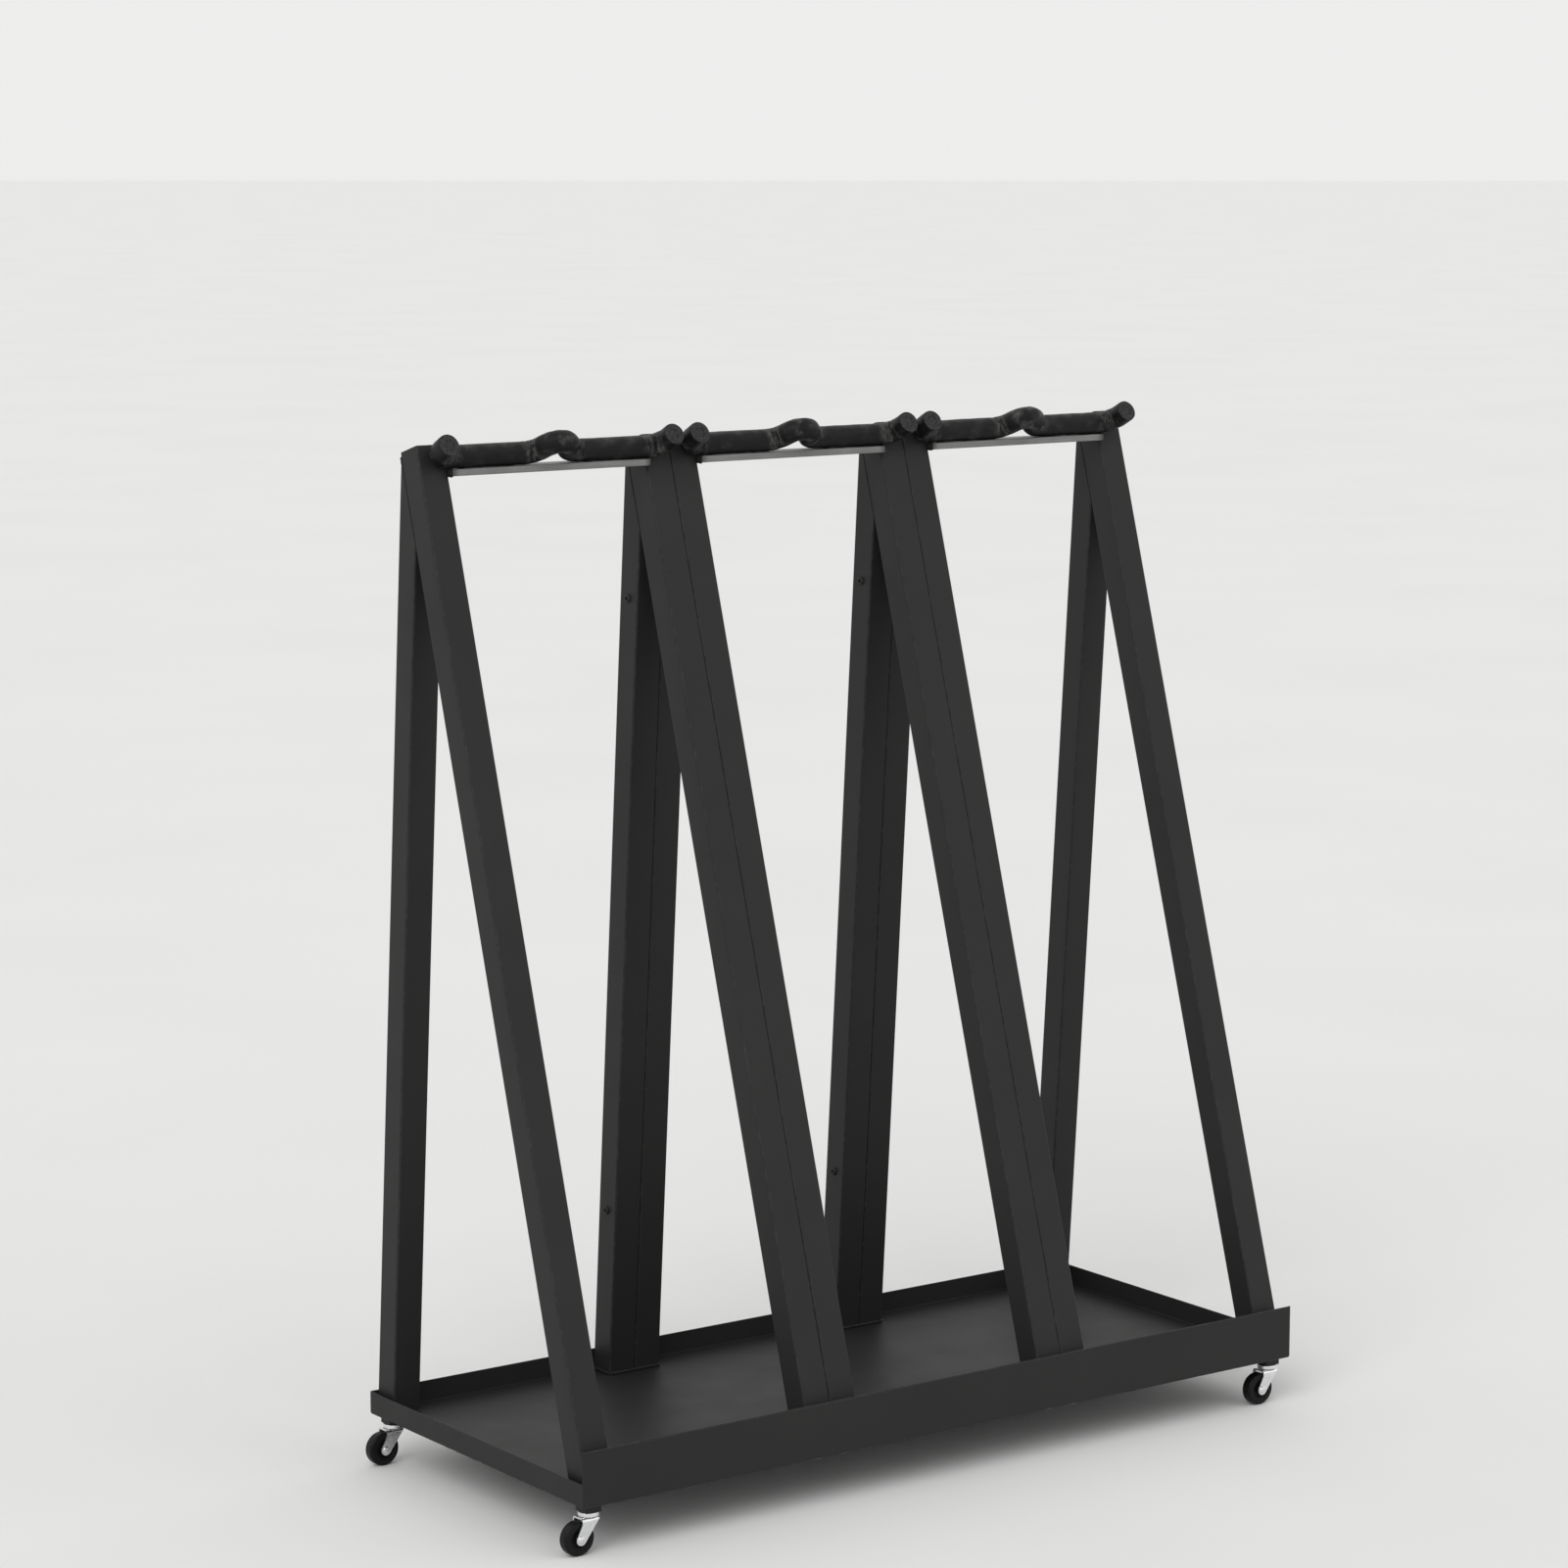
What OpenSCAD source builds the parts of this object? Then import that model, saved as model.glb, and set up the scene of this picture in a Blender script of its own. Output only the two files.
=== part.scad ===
// Rolling rack that keeps long boards upright, each leaning in its own place.
// Three two-place modules stand side by side on one folded steel tray.
// Each module is two A-frames of square tube, a flat rail and a wave-shaped
// padded bar whose horns and crest part the places. Four small swivel casters
// carry the tray. The origin is on the floor, under the middle of the bounding
// box. +X runs along the front, from left to right, and +Y runs to the back.

/* [Frames] */
// Width of one two-place module, over its two frames
module_w = 348; // [330:1:380]
// Height of the frames' top above the floor
frame_h = 1228; // [1000:1:1300]
// Side of the square tube
tube = 37; // [34:1:38]
// Wall of the square tube
tube_wall = 1.5; // [1.2:0.1:2]
// How far in front of the middle the front legs' feet stand
front_foot = 230; // [215:1:245]
// How far behind the middle the rear legs' feet stand
rear_foot = 230; // [215:1:245]
// How far behind the middle the front legs' front face ends at the top
front_top = 114; // [100:1:130]

/* [Tray] */
// Underside of the tray above the floor
tray_z = 58.5; // [58:0.5:66]
// Sheet thickness of the tray
sheet = 2; // [1.5:0.1:2.5]
// Tray edge beyond the outer frames, on each side
tray_side = 9; // [6:0.5:14]
// Tray edge beyond the feet, front and back
tray_end = 3; // [3:0.5:8]
// Height of the side and rear rims
rim_h = 28; // [20:1:40]
// Height of the front lip
lip_h = 66; // [50:1:80]

/* [Padded bar] */
// Outer diameter of the foam sleeve
foam_d = 27; // [25:0.5:28]
// Diameter of the steel rod in the sleeve
rod_d = 12; // [10:0.5:14]
// How far the horns and the crest reach out from the bar
reach = 36; // [36:1:50]
// Angle at which horns and crest point up from the horizontal
rise_deg = 27; // [10:1:35]
// Radius of the rod's bends beside the horns and the crest
bend_r = 22; // [20:0.5:24]
// Radius of the rod's bend over the crest
crest_r = 17; // [16:0.5:20]

/* [Casters] */
// Diameter of the caster wheels
wheel_d = 40; // [38:1:41]
// Width of the caster wheels
wheel_w = 14; // [12:1:15]
// Horizontal distance from the swivel axis to the wheel's axle
trail = 16; // [14:1:18]
// Distance of the swivel axes from the tray's side edges
caster_inset = 20; // [20:1:24]

/* [Hidden] */
$fn = 64;
module_count = 3;
frame_count = 2 * module_count;
corner_count = 4;

// Clearances: a rotating fit, a loose bolt hole, and air between neighbours
fit = 0.05;
loose = 0.25;
air = 0.3;
// How far a cutter reaches past the face that it opens, and a shank into its head
over = 1;
lap = 0.5;

// Overall places
tray_w = module_count * module_w + 2 * tray_side;
tray_front = -front_foot - tray_end;
tray_back = rear_foot + tray_end;
floor_z = tray_z + sheet;
wheel_overhang = max(0, trail + wheel_d / 2 - caster_inset);
mid_x = wheel_overhang / 2;
function module_x(k) = mid_x + (k - (module_count - 1) / 2) * module_w;
function frame_x(i) = module_x(floor(i / 2)) + (i % 2 == 0 ? -1 : 1) * (module_w - tube) / 2;

// Front legs: they stand on foot plates and are cut square at the top, where a
// cap plate closes them
foot_plate_t = 3;
cap_t = 3;
plate_w = tube - 2 * air;
leg_bottom = floor_z + foot_plate_t;
leg_top = frame_h - cap_t;
front_lean = (front_top + front_foot) / (leg_top - leg_bottom);
lean_deg = atan(front_lean);
front_depth = tube / cos(lean_deg);
function front_face_y(z) = -front_foot + front_lean * (z - leg_bottom);
// Unit steps in Y and Z: up along a front leg, and square to it, to the back
leg_up = [sin(lean_deg), cos(lean_deg)];
leg_back = [cos(lean_deg), -sin(lean_deg)];
front_corner = [front_top, leg_top];
back_corner = front_corner + tube * leg_back;

// Rear legs: they end against the front legs' rear faces, from just under the
// square cut down to the crotch
apex_weld = 2;
rear_corner = back_corner - apex_weld * leg_up;
rear_lean = (rear_corner[0] - rear_foot) / (rear_corner[1] - leg_bottom);
rear_depth = tube * sqrt(1 + rear_lean * rear_lean);
function rear_face_y(z) = rear_foot + rear_lean * (z - leg_bottom);
crotch_z = leg_bottom + (front_foot + rear_foot - front_depth - rear_depth) / (front_lean - rear_lean);
crotch_y = front_face_y(crotch_z) + front_depth;

// Fasteners
m8_r = 4;
m8_nut_r = 7.5;
m8_nut_h = 6.5;
m8_head_r = 7;
m8_head_h = 4.4;
m8_washer_r = 8;
m8_washer_t = 1.6;
m8_socket_r = 2.9;
m6_r = 3;
m6_head_r = 5.2;
m6_head_h = 3.4;
m6_nut_r = 5.8;
m6_nut_h = 5;
m6_socket_r = 2.3;
hex_depth = 2.6;
bolt_past_nut = 2;
bolt_y = 212;
corner_x = tray_w / 2 - caster_inset;
function corner_place(i) = [mid_x + (i % 2 == 0 ? -1 : 1) * corner_x, (i < 2 ? -1 : 1) * bolt_y];
// The joining bolts tie each pair of neighbouring frames through their rear legs
join_z = [1030, 270];
// Left frame's number in each pair
pair_left = [for (k = [0 : module_count - 2]) 2 * k + 1];

// Padded bar: its rod is welded to the front legs' upper front faces, and its
// sleeve is notched where it crosses them
foam_r = foam_d / 2;
rod_r = rod_d / 2;
touch = 0.1;
bar_drop = 16;
bar_face_z = frame_h - bar_drop;
bar_y = front_face_y(bar_face_z) - (rod_r + touch) * cos(lean_deg);
bar_z = bar_face_z + (rod_r + touch) * sin(lean_deg);
horn_x = (module_w - tube) / 2;
crest_side_deg = 70;
crest_short = 6;
crest_rise = reach - crest_short;
crest_limb = (crest_rise - (bend_r + crest_r) * (1 - cos(crest_side_deg))) / sin(crest_side_deg);
crest_half = (bend_r + crest_r) * sin(crest_side_deg) + crest_limb * cos(crest_side_deg);
plug_l = 10;
bend_lap = 0.5;
bend_step = 0.05;
stud_r = 4;
stud_to_horn = 14;
stud_to_crest = 16;
stud_x = [horn_x - bend_r - stud_to_horn, crest_half + stud_to_crest];
notch = 0.2;

// Rail: a flat bar welded between the two frames of a module, under the sleeve
rail_h = 8;
rail_d = 32;
rail_top = bar_z - foam_r - air;
rail_lead = 9;
rail_front = bar_y - rail_lead;
rail_half = module_w / 2 - tube;

// Casters, seen from a swivel axis that stands at x = 0, y = 0
wheel_r = wheel_d / 2;
tread_inner_r = 13;
axle_r = 2.5;
axle_head_r = 4.5;
axle_head_t = 1.6;
fork_t = 2;
fork_gap = 1.2;
fork_in = wheel_w / 2 + fork_gap;
fork_out = fork_in + fork_t;
crown_r = 12.5;
crown_z = 42;
crown_top = crown_z + fork_t;
crown_lead = 8.5;
crown_tail = 14.5;
shoulder_h = 5;
eye_r = 6.5;
eye_front_deg = 6;
eye_rear_deg = 12;
race_z = 47.2;
race_t = 2;
race_gap = 0.6;
race_r = 12.5;
race_skirt_t = 1.4;
ball_r = 1.45;
ball_pitch_r = 8;
ball_count = 8;
kingpin_head_r = 6;
kingpin_head_t = 2;
stem_past_nut = 3;
spacer_side = 22;
spacer_corner_r = 2;
tyre_edge_r = 3;
hub_boss_t = 3.5;
hub_boss_h = 0.6;
hub_web = 4;
hub_rim_t = 2.5;
hub_rim_inset = 1;

steel_black = "#363636";
mill_grey = "#8b8d8e";
foam_black = "#2b2b2b";
zinc = "#c9cbcc";
rubber_black = "#1c1c1c";

// Rectangle with rounded corners, centred on the origin
module rounded_rect(w, d, r) {
    square([w - 2 * r, d], center = true);
    square([w, d - 2 * r], center = true);
    for (sx = [-1, 1], sy = [-1, 1]) {
        translate([sx * (w / 2 - r), sy * (d / 2 - r)]) circle(r);
    }
}

// Extrudes an outline drawn in Y and Z along X, centred on x = 0
module along_x(w) {
    rotate([90, 0, 90]) translate([0, 0, -w / 2]) linear_extrude(w) children();
}

// Upright round bar or hole
module upright(r, z0, z1) {
    translate([0, 0, z0]) cylinder(r = r, h = z1 - z0);
}

// Tray

tray_corner_r = 3;
hem_h = 12;
hem_t = 1.8;

// Outline of the tray, at an inset from its outer edge
module tray_outline(inset) {
    translate([mid_x, (tray_front + tray_back) / 2]) {
        rounded_rect(tray_w - 2 * inset, tray_back - tray_front - 2 * inset, tray_corner_r - inset);
    }
}

module tray() color(steel_black) difference() {
    union() {
        translate([0, 0, tray_z]) linear_extrude(sheet) tray_outline(0);
        translate([0, 0, tray_z]) linear_extrude(rim_h) difference() {
            tray_outline(0);
            tray_outline(sheet);
        }
        translate([mid_x - tray_w / 2 + tray_corner_r, tray_front, tray_z]) {
            cube([tray_w - 2 * tray_corner_r, sheet, lip_h]);
            translate([0, sheet, lip_h - hem_h]) cube([tray_w - 2 * tray_corner_r, hem_t, hem_h]);
        }
        // The lip's ends follow the rounded corners up to its top
        translate([0, 0, tray_z]) linear_extrude(lip_h) intersection() {
            difference() {
                tray_outline(0);
                tray_outline(sheet);
            }
            translate([mid_x, tray_front + tray_corner_r / 2]) square([tray_w + 2 * over, tray_corner_r], center = true);
        }
    }
    at_corners() upright(m8_r + loose, tray_z - over, floor_z + over);
    for (place = inner_bolts) {
        translate(place) upright(m8_r + loose, tray_z - over, floor_z + over);
    }
}

// A-frames

// Legs that stand over a caster take its stem, and the others take a bolt
inner_bolts = [for (i = [1 : frame_count - 2], s = [-1, 1]) [frame_x(i), s * bolt_y]];

// How far the bores' cutters reach past the tubes' ends, which are cut at a slant
past = 5;

// Inside of a front leg's tube, open at both ends
module front_bore() {
    inset = tube_wall * front_depth / tube;
    z0 = leg_bottom - past;
    z1 = leg_top + past;
    along_x(tube - 2 * tube_wall) polygon([
        [front_face_y(z0) + inset, z0],
        [front_face_y(z0) + front_depth - inset, z0],
        [front_face_y(z1) + front_depth - inset, z1],
        [front_face_y(z1) + inset, z1]
    ]);
}

// Inside of a rear leg's tube, open at both ends
module rear_bore() {
    inset = tube_wall * rear_depth / tube;
    z0 = leg_bottom - past;
    z1 = leg_top + past;
    along_x(tube - 2 * tube_wall) polygon([
        [rear_face_y(z0) - inset, z0],
        [rear_face_y(z0) - rear_depth + inset, z0],
        [rear_face_y(z1) - rear_depth + inset, z1],
        [rear_face_y(z1) - inset, z1]
    ]);
}

module front_leg(i) color(steel_black) translate([frame_x(i), 0, 0]) difference() {
    along_x(tube) polygon([
        [-front_foot, leg_bottom],
        [-front_foot + front_depth, leg_bottom],
        back_corner,
        front_corner
    ]);
    front_bore();
}

// Middle of a rear leg at a height
function join_y(z) = rear_face_y(z) - rear_depth / 2;

module rear_leg(i) color(steel_black) translate([frame_x(i), 0, 0]) difference() {
    along_x(tube) polygon([
        [rear_foot, leg_bottom],
        rear_corner,
        [crotch_y, crotch_z],
        [rear_foot - rear_depth, leg_bottom]
    ]);
    rear_bore();
    if (i > 0 && i < frame_count - 1) {
        for (z = join_z) {
            translate([0, join_y(z), z]) rotate([0, 90, 0]) upright(m6_r + loose, -tube, tube);
        }
    }
}

// One plate on each front leg's square-cut top
module apex_caps() color(steel_black) for (i = [0 : frame_count - 1]) {
    translate([frame_x(i), 0, 0]) along_x(plate_w) polygon([
        front_corner,
        back_corner,
        back_corner + cap_t * leg_up,
        front_corner + cap_t * leg_up
    ]);
}

// One plate under each leg, drilled for the bolt or caster stem below it
module foot_plates() color(steel_black) for (i = [0 : frame_count - 1], s = [-1, 1]) {
    depth = s < 0 ? front_depth : rear_depth;
    y0 = s < 0 ? -front_foot : rear_foot - rear_depth;
    difference() {
        translate([frame_x(i) - plate_w / 2, y0, floor_z]) cube([plate_w, depth, foot_plate_t]);
        translate(foot_bolt(i, s)) upright(m8_r + loose, floor_z - over, leg_bottom + over);
    }
}

// Place of the bolt or stem that holds one leg
function foot_bolt(i, s) = i == 0 || i == frame_count - 1
    ? corner_place((i == 0 ? 0 : 1) + (s < 0 ? 0 : 2))
    : [frame_x(i), s * bolt_y];

module weld_nuts() color(zinc) for (i = [0 : frame_count - 1], s = [-1, 1]) {
    translate(foot_bolt(i, s)) difference() {
        translate([0, 0, leg_bottom]) cylinder(r = m8_nut_r, h = m8_nut_h, $fn = 6);
        upright(m8_r + fit, leg_bottom - over, leg_bottom + m8_nut_h + over);
    }
}

// Button-head bolts that come up through the tray into the inner legs
module leg_bolts() color(zinc) for (place = inner_bolts) {
    head_z = tray_z - m8_washer_t;
    translate(place) difference() {
        union() {
            upright(m8_head_r, head_z - m8_head_h, head_z);
            upright(m8_r, head_z - lap, leg_bottom + m8_nut_h + bolt_past_nut);
        }
        translate([0, 0, head_z - m8_head_h - over]) cylinder(r = m8_socket_r, h = hex_depth + over, $fn = 6);
    }
}

module leg_washers() color(zinc) for (place = inner_bolts) {
    translate(place) difference() {
        upright(m8_washer_r, tray_z - m8_washer_t, tray_z);
        upright(m8_r + loose, tray_z - m8_washer_t - over, tray_z + over);
    }
}

// Bolts with their heads on the left frame of a pair and their nuts on the right one
module joining_bolts() color(steel_black) for (i = pair_left, z = join_z) {
    translate([frame_x(i) - tube / 2, join_y(z), z]) rotate([0, 90, 0]) difference() {
        union() {
            upright(m6_head_r, -m6_head_h, 0);
            upright(m6_r, -lap, 2 * tube + m6_nut_h + bolt_past_nut);
        }
        translate([0, 0, -m6_head_h - over]) cylinder(r = m6_socket_r, h = hex_depth + over, $fn = 6);
    }
}

module joining_nuts() color(steel_black) for (i = pair_left, z = join_z) {
    translate([frame_x(i) + 3 * tube / 2, join_y(z), z]) rotate([0, 90, 0]) difference() {
        cylinder(r = m6_nut_r, h = m6_nut_h, $fn = 6);
        upright(m6_r + fit, -over, m6_nut_h + over);
    }
}

// Rails and padded bars

module rail(k) color(mill_grey) translate([module_x(k), 0, 0]) difference() {
    translate([-rail_half, rail_front, rail_top - rail_h]) cube([2 * rail_half, rail_d, rail_h]);
    for (x = stud_x, s = [-1, 1]) {
        translate([s * x, bar_y]) upright(stud_r + fit, rail_top - rail_h - over, rail_top + over);
    }
}

// Puts the wave's flat drawing into the module: its second axis points out
// to the front and up
module in_wave_plane(k) {
    translate([module_x(k), bar_y, bar_z]) rotate([180 - rise_deg, 0, 0]) children();
}

// Straight stretch, a hair thinner than the bends that it runs into at each end
module straight(from, to, r, lap_from = bend_lap, lap_to = bend_lap) {
    d = to - from;
    translate([from[0], from[1], 0]) rotate([0, 90, atan2(d[1], d[0])]) {
        translate([0, 0, -lap_from]) cylinder(r = r - bend_step, h = norm(d) + lap_from + lap_to);
    }
}

module bend(center, major, start_deg, sweep_deg, r) {
    translate([center[0], center[1], 0]) rotate([0, 0, start_deg]) rotate_extrude(angle = sweep_deg) {
        translate([major, 0]) circle(r);
    }
}

// One side of the wave, from the crest's limb out to the horn's end
module half_wave(r, horn_end) {
    limb_low = [crest_half - bend_r * sin(crest_side_deg), bend_r * (1 - cos(crest_side_deg))];
    limb_high = limb_low + crest_limb * [-cos(crest_side_deg), sin(crest_side_deg)];
    straight(limb_low, limb_high, r);
    bend([crest_half, bend_r], bend_r, 270 - crest_side_deg, crest_side_deg, r);
    straight([crest_half, 0], [horn_x - bend_r, 0], r);
    bend([horn_x - bend_r, bend_r], bend_r, 270, 90, r);
    straight([horn_x, bend_r], [horn_x, horn_end], r, bend_lap, 0);
}

module wave(r, horn_end) {
    bend([0, crest_rise - crest_r], crest_r, 90 - crest_side_deg, 2 * crest_side_deg, r);
    half_wave(r, horn_end);
    mirror([1, 0, 0]) half_wave(r, horn_end);
}

// Studs that carry the rod: they drop through the sleeve into the rail
module bar_studs(k, r) {
    for (x = stud_x, s = [-1, 1]) {
        translate([module_x(k) + s * x, bar_y]) upright(r, rail_top - rail_h, bar_z);
    }
}

module wave_rod(k) color(steel_black) {
    in_wave_plane(k) wave(rod_r, reach - plug_l);
    bar_studs(k, stud_r);
}

module foam_sleeve(k) color(foam_black) difference() {
    in_wave_plane(k) wave(foam_r, reach);
    in_wave_plane(k) wave(rod_r + fit, reach + over);
    bar_studs(k, stud_r + fit);
    // Notches round the two legs' tops, with a little air
    front = front_corner - notch * leg_back;
    below = 3 * foam_d * leg_up;
    above = (cap_t + notch) * leg_up;
    for (i = [2 * k, 2 * k + 1]) {
        translate([frame_x(i), 0, 0]) along_x(tube + 2 * notch) {
            polygon([front - below, back_corner - below, back_corner + above, front + above]);
        }
    }
}

module foam_plugs() color(foam_black) for (k = [0 : module_count - 1]) {
    in_wave_plane(k) for (s = [-1, 1]) {
        straight([s * horn_x, reach - plug_l + fit], [s * horn_x, reach], rod_r, 0, 0);
    }
}

// Casters

module at_corners() {
    for (i = [0 : corner_count - 1]) {
        translate(corner_place(i)) children();
    }
}

module corner_spacers() color(steel_black) at_corners() difference() {
    translate([0, 0, race_z + race_t]) linear_extrude(tray_z - race_z - race_t) {
        rounded_rect(spacer_side, spacer_side, spacer_corner_r);
    }
    upright(m8_r + fit, race_z, tray_z + over);
}

// Kingpin and threaded stem in one: its riveted head carries the fork's crown
module caster_stems() color(zinc) at_corners() {
    upright(kingpin_head_r, crown_z - air - kingpin_head_t, crown_z - air);
    upright(m8_r, crown_z - air - lap, leg_bottom + m8_nut_h + stem_past_nut);
}

module race_caps() color(zinc) at_corners() difference() {
    upright(race_r, crown_top + race_gap, race_z + race_t);
    upright(race_r - race_skirt_t, crown_top, race_z);
    upright(m8_r + fit, crown_top, race_z + race_t + over);
}

module swivel_balls() color(zinc) at_corners() for (b = [0 : ball_count - 1]) {
    rotate([0, 0, b * 360 / ball_count]) translate([ball_pitch_r, 0, (crown_top + race_z) / 2]) sphere(ball_r);
}

// Cheek outline in X and Z: round at the axle, straight sides up to the crown
module cheek_outline() {
    eye = [-trail, wheel_r];
    front_deg = atan2(trail, crown_z - wheel_r) + eye_front_deg;
    translate(eye) circle(eye_r);
    polygon([
        eye,
        eye + eye_r * [cos(front_deg), -sin(front_deg)],
        [crown_lead, crown_z],
        [crown_lead, crown_top],
        [-crown_tail, crown_top],
        [-crown_tail, crown_z - shoulder_h],
        eye + eye_r * [-cos(eye_rear_deg), sin(eye_rear_deg)]
    ]);
}

module fork(i) color(zinc) translate(corner_place(i)) difference() {
    union() {
        upright(crown_r, crown_z, crown_top);
        translate([-crown_tail, -fork_out, crown_z]) cube([crown_tail + crown_lead, 2 * fork_out, fork_t]);
        for (y = [-fork_out, fork_in]) {
            translate([0, y + fork_t, 0]) rotate([90, 0, 0]) linear_extrude(fork_t) cheek_outline();
        }
    }
    upright(m8_r + fit, crown_z - over, crown_top + over);
    translate([-trail, 0, wheel_r]) rotate([90, 0, 0]) upright(axle_r + fit, -fork_out - over, fork_out + over);
}

module axle(i) color(zinc) translate(corner_place(i)) translate([-trail, 0, wheel_r]) rotate([90, 0, 0]) {
    upright(axle_r, -fork_out - axle_head_t, fork_out + axle_head_t);
    upright(axle_head_r, fork_out, fork_out + axle_head_t);
    upright(axle_head_r, -fork_out - axle_head_t, -fork_out);
}

// Turned parts of the wheel, with the axle along Y
module wheel_turn(i) {
    translate(corner_place(i)) translate([-trail, 0, wheel_r]) rotate([90, 0, 0]) rotate_extrude() children();
}

module hub(i) color(rubber_black) wheel_turn(i) {
    boss = wheel_w / 2 + hub_boss_h;
    bore_r = axle_r + fit;
    rim_r = tread_inner_r - fit;
    translate([bore_r, -boss]) square([hub_boss_t, 2 * boss]);
    translate([bore_r, -hub_web / 2]) square([rim_r - bore_r, hub_web]);
    translate([rim_r - hub_rim_t, -wheel_w / 2 + hub_rim_inset]) square([hub_rim_t, wheel_w - 2 * hub_rim_inset]);
}

module tyre(i) color(rubber_black) wheel_turn(i) {
    half = wheel_w / 2;
    translate([tread_inner_r, -half]) square([wheel_r - tyre_edge_r - tread_inner_r, wheel_w]);
    translate([tread_inner_r, -half + tyre_edge_r]) square([wheel_r - tread_inner_r, wheel_w - 2 * tyre_edge_r]);
    for (s = [-1, 1]) {
        translate([wheel_r - tyre_edge_r, s * (half - tyre_edge_r)]) circle(tyre_edge_r);
    }
}

tray();
for (i = [0 : frame_count - 1]) {
    front_leg(i);
    rear_leg(i);
}
apex_caps();
foot_plates();
weld_nuts();
leg_bolts();
leg_washers();
joining_bolts();
joining_nuts();
for (k = [0 : module_count - 1]) {
    rail(k);
    wave_rod(k);
    foam_sleeve(k);
}
foam_plugs();
corner_spacers();
caster_stems();
race_caps();
swivel_balls();
for (i = [0 : corner_count - 1]) {
    fork(i);
    axle(i);
    hub(i);
    tyre(i);
}
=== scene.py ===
"""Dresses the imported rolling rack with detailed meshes, procedural materials, a camera and soft light.

Lengths are in millimetres unless a name says otherwise, and become metres when a mesh is made.
"""
import math

import bmesh
import bpy
from mathutils import Matrix, Vector, noise

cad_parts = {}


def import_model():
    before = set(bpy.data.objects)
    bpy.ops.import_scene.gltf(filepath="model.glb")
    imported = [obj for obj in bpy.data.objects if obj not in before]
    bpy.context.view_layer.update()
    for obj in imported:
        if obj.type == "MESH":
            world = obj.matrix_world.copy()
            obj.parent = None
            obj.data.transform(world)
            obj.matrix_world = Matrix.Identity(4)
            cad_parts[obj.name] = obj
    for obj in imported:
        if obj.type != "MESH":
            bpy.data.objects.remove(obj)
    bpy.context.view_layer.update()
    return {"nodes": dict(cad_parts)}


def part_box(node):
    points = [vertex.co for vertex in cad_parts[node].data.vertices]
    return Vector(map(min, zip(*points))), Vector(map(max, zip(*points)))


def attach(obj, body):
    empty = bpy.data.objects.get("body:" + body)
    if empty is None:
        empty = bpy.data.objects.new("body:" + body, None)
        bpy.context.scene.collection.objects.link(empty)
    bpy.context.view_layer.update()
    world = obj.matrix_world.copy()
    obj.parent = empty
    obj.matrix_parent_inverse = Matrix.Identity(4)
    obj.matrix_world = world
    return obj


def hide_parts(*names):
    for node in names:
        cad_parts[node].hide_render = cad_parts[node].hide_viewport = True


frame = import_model()
MM = 0.001
scene = bpy.context.scene


def box(node):
    """Lowest and highest corner of a CAD node, in millimetres."""
    lo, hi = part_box(node)
    return lo / MM, hi / MM


# Counts, and the tray's place in the frame
MODULES = 3
FRAMES = 2 * MODULES
CORNERS = 4
tray_lo, tray_hi = box("tray")
MID_X = (tray_lo[0] + tray_hi[0]) / 2

# Camera

CAM_AZIMUTH = math.radians(-35.99)
CAM_ELEVATION = math.radians(8.54)
CAM_ROLL = math.radians(0.01)
CAM_DISTANCE = 5355.9
CAM_TARGET = Vector((MID_X - 95.1, -13.3, 814.7))
CAM_REACH_M = 100
SENSOR = 36.0
FOCAL_PX = 4601.0
IMAGE_PX = 1601.0


def make_camera():
    back = Vector((
        math.sin(CAM_AZIMUTH) * math.cos(CAM_ELEVATION),
        -math.cos(CAM_AZIMUTH) * math.cos(CAM_ELEVATION),
        math.sin(CAM_ELEVATION),
    ))
    right = (-back).cross(Vector((0, 0, 1))).normalized()
    up = right.cross(-back)
    right_rolled = math.cos(CAM_ROLL) * right + math.sin(CAM_ROLL) * up
    up_rolled = -math.sin(CAM_ROLL) * right + math.cos(CAM_ROLL) * up
    data = bpy.data.cameras.new("camera")
    data.sensor_width = SENSOR
    data.lens = FOCAL_PX * SENSOR / IMAGE_PX
    data.clip_end = CAM_REACH_M
    camera = bpy.data.objects.new("camera", data)
    scene.collection.objects.link(camera)
    turn = Matrix((right_rolled, up_rolled, back)).transposed().to_4x4()
    camera.matrix_world = Matrix.Translation((CAM_TARGET + back * CAM_DISTANCE) * MM) @ turn
    scene.camera = camera


make_camera()

# Node materials

# The values that most of a noise lies between, and the whole way from none to all
MID = (0.3, 0.7)
ALL = (0, 1)
# How much paler a scuff on a moulded part is
SCUFF_GAIN = 2.4
# Inputs and output of a colour mix
MIX_A, MIX_B, MIX_OUT = 6, 7, 2


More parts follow.
